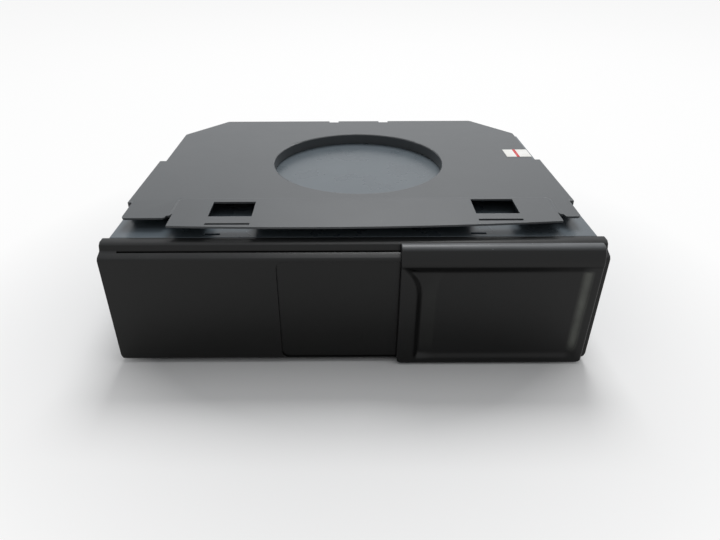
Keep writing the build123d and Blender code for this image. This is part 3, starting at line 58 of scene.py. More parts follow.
# ---------------------------------------------------------------- shader building
class Shader:
    """A material's node tree with short calls for the nodes that it uses."""

    def __init__(self, tree):
        self.tree = tree
        self.coords = None

    def add(self, kind, **settings):
        node = self.tree.nodes.new(kind)
        for name, value in settings.items():
            setattr(node, name, value)
        return node

    def wire(self, source, target):
        self.tree.links.new(source, target)

    def feed(self, socket, value):
        if isinstance(value, bpy.types.NodeSocket):
            self.wire(value, socket)
        else:
            socket.default_value = value

    def place(self):
        """Object coordinates, in metres."""
        if self.coords is None:
            self.coords = self.add("ShaderNodeTexCoord").outputs["Object"]
        return self.coords

    def maths(self, operation, a, b=0.0, clamp=False):
        node = self.add("ShaderNodeMath", operation=operation, use_clamp=clamp)
        self.feed(node.inputs[0], a)
        self.feed(node.inputs[1], b)
        return node.outputs[0]

    def noise(self, scale, detail=4.0, roughness=0.5, stretch=None, distortion=0.0, dims="3D"):
        node = self.add("ShaderNodeTexNoise", noise_dimensions=dims)
        vector = self.place()
        if stretch is not None:
            mapping = self.add("ShaderNodeMapping")
            self.wire(vector, mapping.inputs["Vector"])
            mapping.inputs["Scale"].default_value = stretch
            vector = mapping.outputs["Vector"]
        self.wire(vector, node.inputs["Vector"])
        node.inputs["Scale"].default_value = scale
        node.inputs["Detail"].default_value = detail
        node.inputs["Roughness"].default_value = roughness
        node.inputs["Distortion"].default_value = distortion
        return node.outputs["Fac"]

    def ramp(self, value, low, high, start=0.0, end=1.0):
        node = self.add("ShaderNodeMapRange", clamp=True)
        self.feed(node.inputs["Value"], value)
        node.inputs["From Min"].default_value = low
        node.inputs["From Max"].default_value = high
        node.inputs["To Min"].default_value = start
        node.inputs["To Max"].default_value = end
        return node.outputs["Result"]

    def apart(self, axis):
        """One of the object coordinates."""
        parts = self.add("ShaderNodeSeparateXYZ")
        self.wire(self.place(), parts.inputs["Vector"])
        return parts.outputs[axis]

    def band(self, value, low, high, soft):
        """1 between two values, with soft ends."""
        rise = self.ramp(value, low - soft, low + soft)
        fall = self.ramp(value, high + soft, high - soft)
        return self.maths("MULTIPLY", rise, fall)

    def mix(self, share, a, b):
        node = self.add("ShaderNodeMix", data_type="RGBA")
        self.feed(node.inputs["Factor"], share)
        self.feed(node.inputs["A"], a)
        self.feed(node.inputs["B"], b)
        return node.outputs["Result"]

    def bump(self, height, strength, distance, normal=None):
        node = self.add("ShaderNodeBump")
        node.inputs["Strength"].default_value = strength
        node.inputs["Distance"].default_value = distance
        self.feed(node.inputs["Height"], height)
        if normal is not None:
            self.wire(normal, node.inputs["Normal"])
        return node.outputs["Normal"]


def effect(name, sizes, results, build):
    """Shader node group with number inputs and the outputs that build() returns by name."""
    tree = bpy.data.node_groups.new(name, "ShaderNodeTree")
    for label, value in sizes.items():
        socket = tree.interface.new_socket(label, in_out="INPUT", socket_type="NodeSocketFloat")
        socket.default_value = value
    for label, kind in results.items():
        tree.interface.new_socket(label, in_out="OUTPUT", socket_type="NodeSocket" + kind)
    given = tree.nodes.new("NodeGroupInput").outputs
    out = tree.nodes.new("NodeGroupOutput").inputs
    for label, socket in build(Shader(tree), given).items():
        tree.links.new(socket, out[label])
    return tree


def edge_wear_and_highlight(s, given):
    """Mask of outer edges and creases, broken up by noise: scuffed paint, and a painted highlight along them.
    """
    bevel = s.add("ShaderNodeBevel", samples=4)
    s.wire(given["Width"], bevel.inputs["Radius"])
    geometry = s.add("ShaderNodeNewGeometry")
    dot = s.add("ShaderNodeVectorMath", operation="DOT_PRODUCT")
    s.wire(bevel.outputs["Normal"], dot.inputs[0])
    s.wire(geometry.outputs["True Normal"], dot.inputs[1])
    turned = s.maths("SUBTRACT", 1.0, dot.outputs["Value"])
    patch = s.ramp(s.noise(220, 3), 0.35, 0.75, 0.25, 1.0)
    edge = s.maths("MULTIPLY", s.ramp(turned, 0.006, 0.07), patch)
    return {"Mask": s.maths("MULTIPLY", edge, given["Amount"], clamp=True)}


def moulded_grain(s, given):
    """Fine spark-eroded grain of moulded plastic and powder paint."""
    node = s.add("ShaderNodeTexNoise")
    s.wire(s.place(), node.inputs["Vector"])
    s.wire(given["Scale"], node.inputs["Scale"])
    node.inputs["Detail"].default_value = 2.0
    speck = node.outputs["Fac"]
    broad = s.noise(60, 3)
    return {"Height": speck, "Broad": s.ramp(broad, 0.3, 0.7)}


def settled_dust_and_sheen(s, given):
    """Dust on faces that look up: a thin film and separate specks; where the film is made strong it is a
    painted sheen on the tops.
    """
    geometry = s.add("ShaderNodeNewGeometry")
    parts = s.add("ShaderNodeSeparateXYZ")
    s.wire(geometry.outputs["Normal"], parts.inputs["Vector"])
    up = s.ramp(parts.outputs["Z"], 0.6, 0.95)
    film = s.ramp(s.noise(35, 3, 0.5), 0.15, 0.85, 0.6, 1.0)
    cell = s.add("ShaderNodeTexVoronoi", feature="F1")
    s.wire(s.place(), cell.inputs["Vector"])
    cell.inputs["Scale"].default_value = 420
    cell.inputs["Randomness"].default_value = 1.0
    speck = s.ramp(cell.outputs["Distance"], 0.10, 0.02)
    sparse = s.ramp(s.noise(130, 2), 0.52, 0.62)
    specks = s.maths("MULTIPLY", speck, sparse)
    film = s.maths("MULTIPLY", film, given["Film"])
    both = s.maths("ADD", film, s.maths("MULTIPLY", specks, given["Specks"]))
    return {"Mask": s.maths("MULTIPLY", both, up, clamp=True)}


def drawn_lines(s, given):
    """Fine lines of rolled or brushed metal along X, with a few longer scratches."""
    fine = s.noise(900, 3, 0.6, stretch=(0.03, 1.0, 1.0))
    scratch = s.ramp(s.noise(260, 2, 0.5, stretch=(0.02, 1.0, 1.0)), 0.62, 0.72)
    return {"Height": fine, "Scratch": s.maths("MULTIPLY", scratch, given["Scratches"])}


effects = {
    "wear_and_highlight": effect("Edge wear", {"Width": 0.0006, "Amount": 0.5}, {"Mask": "Float"}, edge_wear_and_highlight),
    "grain": effect("Moulded grain", {"Scale": 2200.0}, {"Height": "Float", "Broad": "Float"}, moulded_grain),
    # Pale film on up-facing faces: dust, and where made strong a painted sheen.
    "dust_and_sheen": effect("Settled dust", {"Film": 0.1, "Specks": 0.5}, {"Mask": "Float"}, settled_dust_and_sheen),
    "drawn": effect("Drawn lines", {"Scratches": 0.3}, {"Height": "Float", "Scratch": "Float"}, drawn_lines),
}


def use(s, name, **sizes):
    """Places a shared effect in a material with its own sizes."""
    node = s.add("ShaderNodeGroup", node_tree=effects[name])
    for label, value in sizes.items():
        node.inputs[label].default_value = value
    return node.outputs


def new_material(name, roughness=0.5, metallic=0.0, specular=0.5, coat=0.0):
    """Material with one Principled shader, and the Shader that wires it."""
    material = bpy.data.materials.new(name)
    material.use_nodes = True
    s = Shader(material.node_tree)
    shader = material.node_tree.nodes["Principled BSDF"]
    shader.inputs["Roughness"].default_value = roughness
    shader.inputs["Metallic"].default_value = metallic
    shader.inputs["Specular IOR Level"].default_value = specular
    shader.inputs["Coat Weight"].default_value = coat
    return material, s, shader.inputs


def rgb(*values):
    return (*values, 1.0)


def grained(
    name, colour, roughness, grain_scale, grain_depth, specular=0.3, dust_and_sheen=0.03, wear_and_highlight_amount=0.25, painted_relief_light=False,
):
    """Moulded or powder-coated surface: grain, broad sheen changes, edges lightened partly by scuffing and
    partly as a painted highlight, and a dusting on faces that look up which, where strong, is a painted
    sheen.

    One with painted relief light also reads two values from its mesh: a painted highlight on slopes that face
    the upper left and painted shade on slopes that face away.
    """
    material, s, shader = new_material(name, specular=specular)
    grain = use(s, "grain", Scale=grain_scale)
    wear_and_highlight = use(s, "wear_and_highlight", Amount=wear_and_highlight_amount)["Mask"]
    dust_and_sheen_mask = use(s, "dust_and_sheen", Film=dust_and_sheen, Specks=dust_and_sheen * 6)["Mask"]
    base = s.mix(grain["Broad"], rgb(*(c * 0.95 for c in colour)), rgb(*(c * 1.05 for c in colour)))
    # Edges lightened: scuffed paint, and a painted highlight on edges and creases.
    base = s.mix(wear_and_highlight, base, rgb(*(min(0.8, c * 2.2 + 0.03) for c in colour)))
    rough = s.ramp(grain["Broad"], 0.0, 1.0, roughness - 0.02, roughness + 0.02)
    if painted_relief_light:
        # Painted highlight: a paler colour and lower roughness on the door's slopes that face the upper left,
        # broken up by noise.
        patchy = s.ramp(s.noise(90, 3), 0.3, 0.6, 0.75, 1.0)
        rubbed = s.add("ShaderNodeAttribute", attribute_name="rubbed").outputs["Fac"]
        rubbed = s.maths("MULTIPLY", rubbed, patchy)
        # Painted shade: near-black colour on the door's slopes that face away from the upper left.
        grime = s.add("ShaderNodeAttribute", attribute_name="grime").outputs["Fac"]
        base = s.mix(rubbed, base, rgb(0.13, 0.135, 0.12))
        base = s.mix(grime, base, rgb(0.002, 0.002, 0.002))
        rough = s.maths("SUBTRACT", rough, s.maths("MULTIPLY", rubbed, 0.12))
        # Less specular where the painted shade lies.
        clean = s.ramp(grime, 0.0, 1.0, 1.0, 0.25)
        s.feed(shader["Specular IOR Level"], s.maths("MULTIPLY", clean, specular))
    # Pale bluish film on up-facing faces: dust specks, and a film that where strong is a painted sheen.
    s.feed(shader["Base Color"], s.mix(dust_and_sheen_mask, base, rgb(0.40, 0.42, 0.44)))
    s.feed(shader["Roughness"], s.maths("ADD", rough, s.maths("MULTIPLY", dust_and_sheen_mask, 0.3), clamp=True))
    s.feed(shader["Normal"], s.bump(grain["Height"], 0.5, grain_depth))
    return material


def plain_metal(name, colour, roughness, scratches=0.3, lines=0.00002):
    """Bare sheet or turned metal with drawn lines and scratches."""
    material, s, shader = new_material(name, metallic=1.0)
    drawn = use(s, "drawn", Scratches=scratches)
    tone = s.mix(drawn["Height"], rgb(*(c * 0.85 for c in colour)), rgb(*(min(1, c * 1.1) for c in colour)))
    s.feed(shader["Base Color"], s.mix(drawn["Scratch"], tone, rgb(0.85, 0.85, 0.84)))
    s.feed(shader["Roughness"], s.ramp(s.noise(90, 4), 0.3, 0.7, roughness - 0.06, roughness + 0.08))
    s.feed(shader["Normal"], s.bump(drawn["Height"], 0.3, lines))
    return material


def label_paper():
    """White paper label with a thin plain red stripe, gone a little yellow."""
    material, s, shader = new_material("label_paper", specular=0.3)
    lowest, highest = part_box("plate_label")
    across = s.apart("X")
    middle = (lowest[0] + highest[0]) / 2
    stripe = s.band(across, middle - 1.6 * mm, middle + 0.4 * mm, 0.08 * mm)
    fibre = s.noise(2600, 3)
    paper = s.mix(s.ramp(s.noise(150, 3), 0.3, 0.7), rgb(0.86, 0.86, 0.84), rgb(0.78, 0.77, 0.73))
    printed = s.maths("MULTIPLY", stripe, s.ramp(fibre, 0.25, 0.4))
    s.feed(shader["Base Color"], s.mix(printed, paper, rgb(0.55, 0.03, 0.035)))
    s.feed(shader["Roughness"], s.ramp(fibre, 0.3, 0.7, 0.5, 0.65))
    s.feed(shader["Normal"], s.bump(fibre, 0.3, 0.00002))
    return material


def disc_face():
    """Pressed disc: mirror tracks in rings, a clear hub, and a painted rainbow sheen of faint colours that
    turn round the middle, with painted bright bands.
    """
    material, s, shader = new_material("disc_face", roughness=0.16, specular=0.5, coat=0.6)
    lowest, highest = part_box("disc_1")
    middle = [(a + b) / 2 for a, b in zip(lowest, highest)]
    centred = s.add("ShaderNodeMapping")
    s.wire(s.place(), centred.inputs["Vector"])
    centred.inputs["Location"].default_value = (-middle[0], -middle[1], 0)
    flat = s.add("ShaderNodeVectorMath", operation="MULTIPLY")
    s.wire(centred.outputs["Vector"], flat.inputs[0])
    flat.inputs[1].default_value = (1, 1, 0)
    length = s.add("ShaderNodeVectorMath", operation="LENGTH")
    s.wire(flat.outputs["Vector"], length.inputs[0])
    radius = length.outputs["Value"]
    # Painted rainbow sheen: the hue turns with the angle round the middle and with the radius.
    turn = s.add("ShaderNodeTexGradient", gradient_type="RADIAL")
    s.wire(centred.outputs["Vector"], turn.inputs["Vector"])
    turns = s.maths("MULTIPLY", turn.outputs["Fac"], 4.0)
    hue = s.maths("FRACT", s.maths("ADD", turns, s.maths("MULTIPLY", radius, 30.0)))
    colour = s.add("ShaderNodeHueSaturation")
    colour.inputs["Color"].default_value = (0.85, 0.55, 0.55, 1)
    s.wire(hue, colour.inputs["Hue"])
    # Painted bright bands of reflection, four round the disc.
    wave = s.maths("SINE", s.maths("MULTIPLY", turn.outputs["Fac"], 12.566))
    painted_sheen_band = s.ramp(s.maths("ABSOLUTE", wave), 0.75, 1.0, 0.0, 0.35)
    silver = s.mix(painted_sheen_band, rgb(0.74, 0.76, 0.79), colour.outputs["Color"])
    hub = s.band(radius, 0.0, 22 * mm, 0.4 * mm)
    s.feed(shader["Base Color"], s.mix(hub, silver, rgb(0.6, 0.62, 0.64)))
    s.feed(shader["Metallic"], s.ramp(hub, 0.0, 1.0, 1.0, 0.2))
    rings = s.maths("SINE", s.maths("MULTIPLY", radius, 9000.0))
    s.feed(shader["Normal"], s.bump(rings, 0.12, 0.00001))
    return material


def circuit_board():
    """Green lacquered board: paler traces under the lacquer and a fine weave."""
    material, s, shader = new_material("board_green", specular=0.5, coat=0.3)
    tracks = s.add("ShaderNodeTexBrick", offset=0.5)
    s.wire(s.place(), tracks.inputs["Vector"])
    tracks.inputs["Scale"].default_value = 180
    tracks.inputs["Mortar Size"].default_value = 0.09
    tracks.inputs["Color1"].default_value = rgb(0, 0, 0)
    tracks.inputs["Color2"].default_value = rgb(0, 0, 0)
    tracks.inputs["Mortar"].default_value = rgb(1, 1, 1)
    broken = s.maths("MULTIPLY", tracks.outputs["Color"], s.ramp(s.noise(90, 2), 0.42, 0.5))
    ground = s.mix(s.noise(45, 3), rgb(0.018, 0.10, 0.05), rgb(0.028, 0.15, 0.075))
    s.feed(shader["Base Color"], s.mix(broken, ground, rgb(0.07, 0.27, 0.12)))
    s.feed(shader["Roughness"], s.ramp(s.noise(300, 2), 0.3, 0.7, 0.28, 0.4))
    s.feed(shader["Normal"], s.bump(broken, 0.4, 0.00003))
    return material


def pickup_glass():
    """Coated lens of the pickup: deep blue with a purple sheen at its rim."""
    material, s, shader = new_material("lens_glass", roughness=0.04, specular=0.8, coat=1.0)
    weight = s.add("ShaderNodeLayerWeight")
    weight.inputs["Blend"].default_value = 0.4
    clean = s.ramp(s.noise(400, 3), 0.45, 0.8, 0.0, 0.3)
    # Painted sheen: the colour turns purple where the lens is seen at a slant.
    tint = s.mix(weight.outputs["Facing"], rgb(0.02, 0.03, 0.09), rgb(0.25, 0.08, 0.35))
    s.feed(shader["Base Color"], s.mix(clean, tint, rgb(0.12, 0.13, 0.2)))
    s.feed(shader["Roughness"], s.ramp(clean, 0.0, 0.3, 0.03, 0.12))
    return material


face_black = (0.0030, 0.0030, 0.0028)
door_black = (0.0032, 0.0032, 0.0032)
plate_grey = (0.052, 0.057, 0.061)
cover_grey = (0.062, 0.082, 0.098)
materials = {
    "fascia_plastic": grained("fascia_plastic", face_black, 0.30, 2600, 0.00003, 0.27, 0.04, 0.2),
    # Door: painted highlight and painted shade from its relief, and a strong film that is mostly a painted
    # sheen on its rolled top, with some dust.
    "door_plastic": grained("door_plastic", door_black, 0.30, 2600, 0.00003, 0.27, 0.34, 0.2, True),
    # The plate's strong edge lightening is partly a painted highlight on its folds and creases.
    "plate_paint": grained("plate_paint", plate_grey, 0.38, 1700, 0.00003, 0.4, 0.05, 0.5),
    "case_paint": grained("case_paint", cover_grey, 0.26, 1700, 0.00002, 0.5, 0.09, 0.15),
    "black_plastic": grained("black_plastic", (0.014, 0.014, 0.0145), 0.42, 2000, 0.00004),
    "tray_plastic": grained("tray_plastic", (0.06, 0.06, 0.065), 0.42, 2000, 0.00004, 0.5),
    "grey_plastic": grained("grey_plastic", (0.22, 0.23, 0.24), 0.45, 2000, 0.00004, 0.5),
    "white_plastic": grained("white_plastic", (0.74, 0.72, 0.66), 0.4, 1500, 0.00002, 0.5),
    "part_black": grained("part_black", (0.02, 0.02, 0.021), 0.5, 1500, 0.00003, 0.5),
    "rubber": grained("rubber", (0.018, 0.018, 0.018), 0.75, 900, 0.00005, 0.3),
    "label_paper": label_paper(),
    "board_green": circuit_board(),
    "bare_steel": plain_metal("bare_steel", (0.6, 0.6, 0.6), 0.32),
    "frame_steel": plain_metal("frame_steel", (0.56, 0.57, 0.58), 0.38),
    "spring_steel": plain_metal("spring_steel", (0.45, 0.45, 0.46), 0.35),
    "brass": plain_metal("brass", (0.72, 0.52, 0.24), 0.3),
    "disc_face": disc_face(),
    "lens_glass": pickup_glass(),
}
for name, node in nodes.items():
    for place in node.material_slots:
        place.material = materials[slot_of_node[name]]


# ---------------------------------------------------------------- edges of the pieces
def link(name, mesh):
    piece = bpy.data.objects.new(name, mesh)
    scene.collection.objects.link(piece)
    return piece


def settled(piece):
    """The piece with its modifiers worked into its mesh."""
    ready = piece.evaluated_get(bpy.context.evaluated_depsgraph_get())
    mesh = bpy.data.meshes.new_from_object(ready)
    name = piece.name
    bpy.data.objects.remove(piece)
    return link(name, mesh)


def stand_in(piece, *names):
    """Puts a finished piece in place of CAD nodes of one body."""
    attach(piece, body_of_node[names[0]])
    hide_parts(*names)


def softened(node, width, segments=2, turn=35, reshape=None):
    """A CAD node with its sharp edges broken by a small radius."""
    mesh = nodes[node].data.copy()
    shape = bmesh.new()
    shape.from_mesh(mesh)
    bmesh.ops.remove_doubles(shape, verts=shape.verts, dist=0.002 * mm)
    bmesh.ops.dissolve_limit(shape, angle_limit=math.radians(0.6), verts=shape.verts, edges=shape.edges)
    if reshape is not None:
        reshape(shape)
    for face in shape.faces:
        face.smooth = True
    for edge in shape.edges:
        edge.smooth = True
    shape.to_mesh(mesh)
    shape.free()
    if mesh.has_custom_normals:
        mesh.normals_split_custom_set([(0, 0, 0)] * len(mesh.loops))
    mesh.materials.clear()
    mesh.materials.append(materials[slot_of_node[node]])
    piece = link(node + "_edged", mesh)
    edge = piece.modifiers.new("edge", "BEVEL")
    edge.width = width * mm
    edge.segments = segments
    edge.limit_method = "ANGLE"
    edge.angle_limit = math.radians(turn)
    edge.use_clamp_overlap = False
    flat = piece.modifiers.new("flat", "WEIGHTED_NORMAL")
    flat.mode = "FACE_AREA"
    flat.weight = 90
    flat.thresh = 0.01
    piece = settled(piece)
    stand_in(piece, node)
    return piece


edge_widths = {
    "front_fascia": 0.3, "inner_shutter": 0.3, "eject_button": 0.4,
    "top_cover": 0.2, "case_walls": 0.18, "base_plate": 0.2, "rear_socket": 0.25,
    "magazine_case": 0.3, "magazine_lid": 0.3, "tray_hook": 0.2, "pickup_sled": 0.15, "clamp_puck": 0.3,
    "turntable": 0.2, "lift_motor": 0.4, "eject_motor": 0.4, "sled_motor": 0.3, "spindle_motor": 0.3,
    "magazine_rails": 0.2, "main_board": 0.1, "board_parts": 0.15, "eject_switch": 0.15,
    "lift_deck": 0.15, "clamp_arm": 0.15, "mech_frame": 0.15, "lift_cam": 0.15, "ejector": 0.15,
}
for node, width in edge_widths.items():
    softened(node, width)


def tight_rim(shape):
    """Rolls the lip of the plate's round opening tighter, as pressed steel is."""
    bend, pressed = 1.94 * mm, 0.8 * mm
    radius, setback, label_sheet = 54 * mm, 106.3 * mm, 0.15 * mm
    middle_x, middle_y = 4.3 * mm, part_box("front_fascia")[0][1] + setback
    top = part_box("plate_label")[1][2] - label_sheet
    for v in shape.verts:
        across, along = v.co.x - middle_x, v.co.y - middle_y
        from_middle = math.hypot(across, along)
        inward, up = from_middle - radius - bend, v.co.z - top + bend
        reach = math.hypot(inward, up)
        if abs(reach - bend) < 0.08 * mm and inward < 0.05 * mm and up > -0.05 * mm:
            share = (radius + pressed + inward * pressed / reach) / from_middle
            v.co = (middle_x + across * share, middle_y + along * share, top - pressed + up * pressed / reach)


softened("mounting_plate", 0.18, turn=20, reshape=tight_rim)
for number in range(1, 7):
    softened(f"tray_{number}", 0.15)


# ---------------------------------------------------------------- sliding door
def ease(value, start, end):
    """0 before the start and 1 past the end, with a soft curve between."""
    t = min(max((value - start) / (end - start), 0.0), 1.0)
    return t * t * (3 - 2 * t)


def end_outline(node):
    """(y, z) corners of a node's right end, in order round it."""
    shape = bmesh.new()
    shape.from_mesh(nodes[node].data)
    bmesh.ops.remove_doubles(shape, verts=shape.verts, dist=0.002 * mm)
    bmesh.ops.dissolve_limit(shape, angle_limit=math.radians(0.6), verts=shape.verts, edges=shape.edges)
    end_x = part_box(node)[1][0]
    ends = [face for face in shape.faces if abs(face.calc_center_median().x - end_x) < 0.01 * mm]
    outline = [(v.co.y, v.co.z) for v in max(ends, key=lambda face: face.calc_area()).verts]
    shape.free()
    return outline


def fine_outline(outline, step):
    """The outline with its long sides cut into short steps."""
    points = []
    for (y, z), (next_y, next_z) in zip(outline, outline[1:] + outline[:1]):
        cuts = max(1, math.ceil(math.hypot(next_y - y, next_z - z) / step))
        points += [(y + (next_y - y) * i / cuts, z + (next_z - z) * i / cuts) for i in range(cuts)]
    return points


# Relief of the door, in mm: x from its left end or to its right end, z from the floor.
roll_foot = 63.4                 # step under the rolled top
roll_step = 0.2
panel_top = 63.2
panel_top_fillet = 4.2
panel_foot = (3.2, 8.5)          # ramp at the panel's foot
panel_right = (3.2, 10.6)        # ramp at its right end
panel_sink = 1.15
groove_wall = 11.8               # foot of the finger groove's steep left wall
groove_wall_slope = 3.0
groove_end = 19.6                # where its floor meets the panel
groove_sink = 0.6
flare_start, flare_height, flare_power = 44.0, 18.0, 2.7
flare_left, flare_right = 8.3, 3.4


def door_relief(from_left, from_right, z):
    """How far the door's front is sunk: step under the roll, panel and finger groove."""
    flare = max((z - flare_start) / flare_height, 0.0) ** flare_power
    wall = groove_wall - flare_left * flare
    floor_end = groove_end + flare_right * flare
    under_roll = ease(roll_foot - z, 0.0, 1.0)
    height = ease(panel_top - z, 0.0, panel_top_fillet) * ease(z, *panel_foot)
    wall_share = ease(from_left, wall - groove_wall_slope, wall)
    panel = wall_share * ease(from_right, *panel_right)
    groove = 1.0 - min(max((from_left - wall) / (floor_end - wall), 0.0), 1.0)
    return roll_step * under_roll + height * (panel_sink * panel + groove_sink * groove * wall_share)


def relief_slope(from_left, from_right, z, reach=0.4):
    """Slope of the relief towards the upper left, above 0 where it faces there."""
    across = door_relief(from_left - reach, from_right + reach, z)
    across -= door_relief(from_left + reach, from_right - reach, z)
    down = door_relief(from_left, from_right, z + reach) - door_relief(from_left, from_right, z - reach)
    return (across + 0.8 * down) / (2 * reach)


def pressed_door():
    """Door swept along its length: rolled top, sunk panel, finger groove, rounded ends and foot."""
    lowest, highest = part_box("sliding_door")
    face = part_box("front_fascia")[0][1]
    outline = fine_outline(end_outline("sliding_door"), 0.9 * mm)
    count = len(outline)
    area = sum(a[0] * b[1] - b[0] * a[1] for a, b in zip(outline, outline[1:] + outline[:1]))
    turn = 1 if area > 0 else -1
    outward = []
    for i, (y, z) in enumerate(outline):
        (y0, z0), (y1, z1) = outline[i - 1], outline[(i + 1) % count]
        along = Vector((y1 - y0, z1 - z0)).normalized()
        outward.append((along.y * turn, -along.x * turn))
    length = highest[0] - lowest[0]
    edge, foot = 0.8 * mm, 3.0 * mm
    offsets = [edge * (1 - math.cos(math.pi / 2 * i / 5)) for i in range(5)]
    middle = [edge + (length - 2 * edge) * i / 140 for i in range(141)]
    stations = offsets + middle + [length - offset for offset in reversed(offsets)]
    shape = bmesh.new()
    # Per-vertex values for the door's painted highlight and painted shade, taken from the relief's slope.
    rubbed = shape.verts.layers.float.new("rubbed")
    grime = shape.verts.layers.float.new("grime")
    rings = []
    for station in stations:
        from_end = min(station, length - station)
        inset = edge - math.sqrt(max(edge ** 2 - max(edge - from_end, 0.0) ** 2, 0.0))
        lift = foot - math.sqrt(max(foot ** 2 - max(foot - from_end, 0.0) ** 2, 0.0))
        ring = []
        for (y, z), (out_y, out_z) in zip(outline, outward):
            shown = (out_y < -0.1 and y < face + 3.5 * mm) or (out_z > 0.5 and z > highest[2] - 1 * mm)
            if shown:
                y, z = y - out_y * inset, z - out_z * inset
            slope = 0.0
            if y - lowest[1] < inset + 0.02 * mm:
                spot = (station / mm, (length - station) / mm, z / mm)
                y += door_relief(*spot) * mm
                slope = relief_slope(*spot)
            if z < 6 * mm:
                z = lift + z * (6 * mm - lift) / (6 * mm)
            vert = shape.verts.new((lowest[0] + station, y, z))
            # Painted highlight where the relief faces the upper left, faded out near the foot.
            vert[rubbed] = min(max(slope / 0.25, 0.0), 1.0) ** 2.5 * ease(z / mm, 7.0, 16.0)
            # Painted shade where the relief faces away from the upper left.
            vert[grime] = min(max(-slope / 0.3, 0.0), 1.0)
            ring.append(vert)
        rings.append(ring)
    for ring, after in zip(rings, rings[1:]):
        for i in range(count):
            j = (i + 1) % count
            shape.faces.new((ring[i], ring[j], after[j], after[i]))
    shape.faces.new(list(reversed(rings[0])))
    shape.faces.new(rings[-1])
    bmesh.ops.recalc_face_normals(shape, faces=shape.faces)
    for side in shape.faces:
        side.smooth = True
    mesh = bpy.data.meshes.new("pressed_door")
    shape.to_mesh(mesh)
    shape.free()
    mesh.set_sharp_from_angle(angle=math.radians(40))
    mesh.materials.append(materials["door_plastic"])
    stand_in(link("pressed_door", mesh), "sliding_door")


pressed_door()


# ---------------------------------------------------------------- screws and springs
class Plan:
    """A Geometry Nodes tree with named inputs."""

    def __init__(self, name, inputs):
        self.tree = bpy.data.node_groups.new(name, "GeometryNodeTree")
        self.keys = {}
        self.tree.interface.new_socket("Geometry", in_out="INPUT", socket_type="NodeSocketGeometry")
        for label, (kind, value) in inputs.items():
            socket = self.tree.interface.new_socket(label, in_out="INPUT", socket_type="NodeSocket" + kind)
            if value is not None:
                socket.default_value = value
            self.keys[label] = socket.identifier
        self.tree.interface.new_socket("Geometry", in_out="OUTPUT", socket_type="NodeSocketGeometry")
        self.given = self.tree.nodes.new("NodeGroupInput").outputs
        self.out = self.tree.nodes.new("NodeGroupOutput").inputs

    def add(self, kind, **settings):
        node = self.tree.nodes.new(kind)
        for name, value in settings.items():
            setattr(node, name, value)
        return node

    def wire(self, source, target):
        self.tree.links.new(source, target)

    def set_out(self, points, instance):
        """Instances on the points, each turned along its facing, made real and given the finish."""
        facing = self.add("GeometryNodeInputNamedAttribute", data_type="FLOAT_VECTOR")
        facing.inputs["Name"].default_value = "facing"
        turned = self.add("FunctionNodeAlignRotationToVector", axis="Z")
        self.wire(facing.outputs["Attribute"], turned.inputs["Vector"])
        spread = self.add("GeometryNodeInstanceOnPoints")
        self.wire(points, spread.inputs["Points"])
        self.wire(instance, spread.inputs["Instance"])
        self.wire(turned.outputs["Rotation"], spread.inputs["Rotation"])
        real = self.add("GeometryNodeRealizeInstances")
        self.wire(spread.outputs["Instances"], real.inputs["Geometry"])
        finish = self.add("GeometryNodeSetMaterial")
        self.wire(real.outputs["Geometry"], finish.inputs["Geometry"])
        self.wire(self.given["Finish"], finish.inputs["Material"])
        self.wire(finish.outputs["Geometry"], self.out["Geometry"])


def fastener_plan():
    plan = Plan("Set of fasteners", {"Fastener": ("Object", None), "Finish": ("Material", None)})
    shape = plan.add("GeometryNodeObjectInfo")
    plan.wire(plan.given["Fastener"], shape.inputs["Object"])
    plan.set_out(plan.given["Geometry"], shape.outputs["Geometry"])
    return plan


def spring_plan():
    plan = Plan("Coil spring", {
        "Turns": ("Float", 4.0), "Coil radius": ("Float", 0.0076), "Wire radius": ("Float", 0.0005),
        "Length": ("Float", 0.01), "Finish": ("Material", None),
    })
    coil = plan.add("GeometryNodeCurveSpiral")
    coil.inputs["Resolution"].default_value = 28
    plan.wire(plan.given["Turns"], coil.inputs["Rotations"])
    plan.wire(plan.given["Coil radius"], coil.inputs["Start Radius"])
    plan.wire(plan.given["Coil radius"], coil.inputs["End Radius"])
    plan.wire(plan.given["Length"], coil.inputs["Height"])
    wire = plan.add("GeometryNodeCurvePrimitiveCircle")
    wire.inputs["Resolution"].default_value = 10
    plan.wire(plan.given["Wire radius"], wire.inputs["Radius"])
    swept = plan.add("GeometryNodeCurveToMesh")
    plan.wire(coil.outputs["Curve"], swept.inputs["Curve"])
    plan.wire(wire.outputs["Curve"], swept.inputs["Profile Curve"])
    swept.inputs["Fill Caps"].default_value = True
    smooth = plan.add("GeometryNodeSetShadeSmooth")
    plan.wire(swept.outputs["Mesh"], smooth.inputs["Geometry"])
    plan.set_out(plan.given["Geometry"], smooth.outputs["Geometry"])
    return plan


def placed(name, plan, places, node, **sizes):
    """Runs a plan on places, each a point and a facing, and puts the result in place of a node."""
    mesh = bpy.data.meshes.new(name)
    mesh.from_pydata([point for point, _ in places], [], [])
    facing = mesh.attributes.new("facing", "FLOAT_VECTOR", "POINT")
    for i, (_, way) in enumerate(places):
        facing.data[i].vector = way
    piece = link(name, mesh)
    run = piece.modifiers.new("run", "NODES")
    run.node_group = plan.tree
    for label, value in sizes.items():
        run[plan.keys[label.replace("_", " ")]] = value
    stand_in(settled(piece), node)


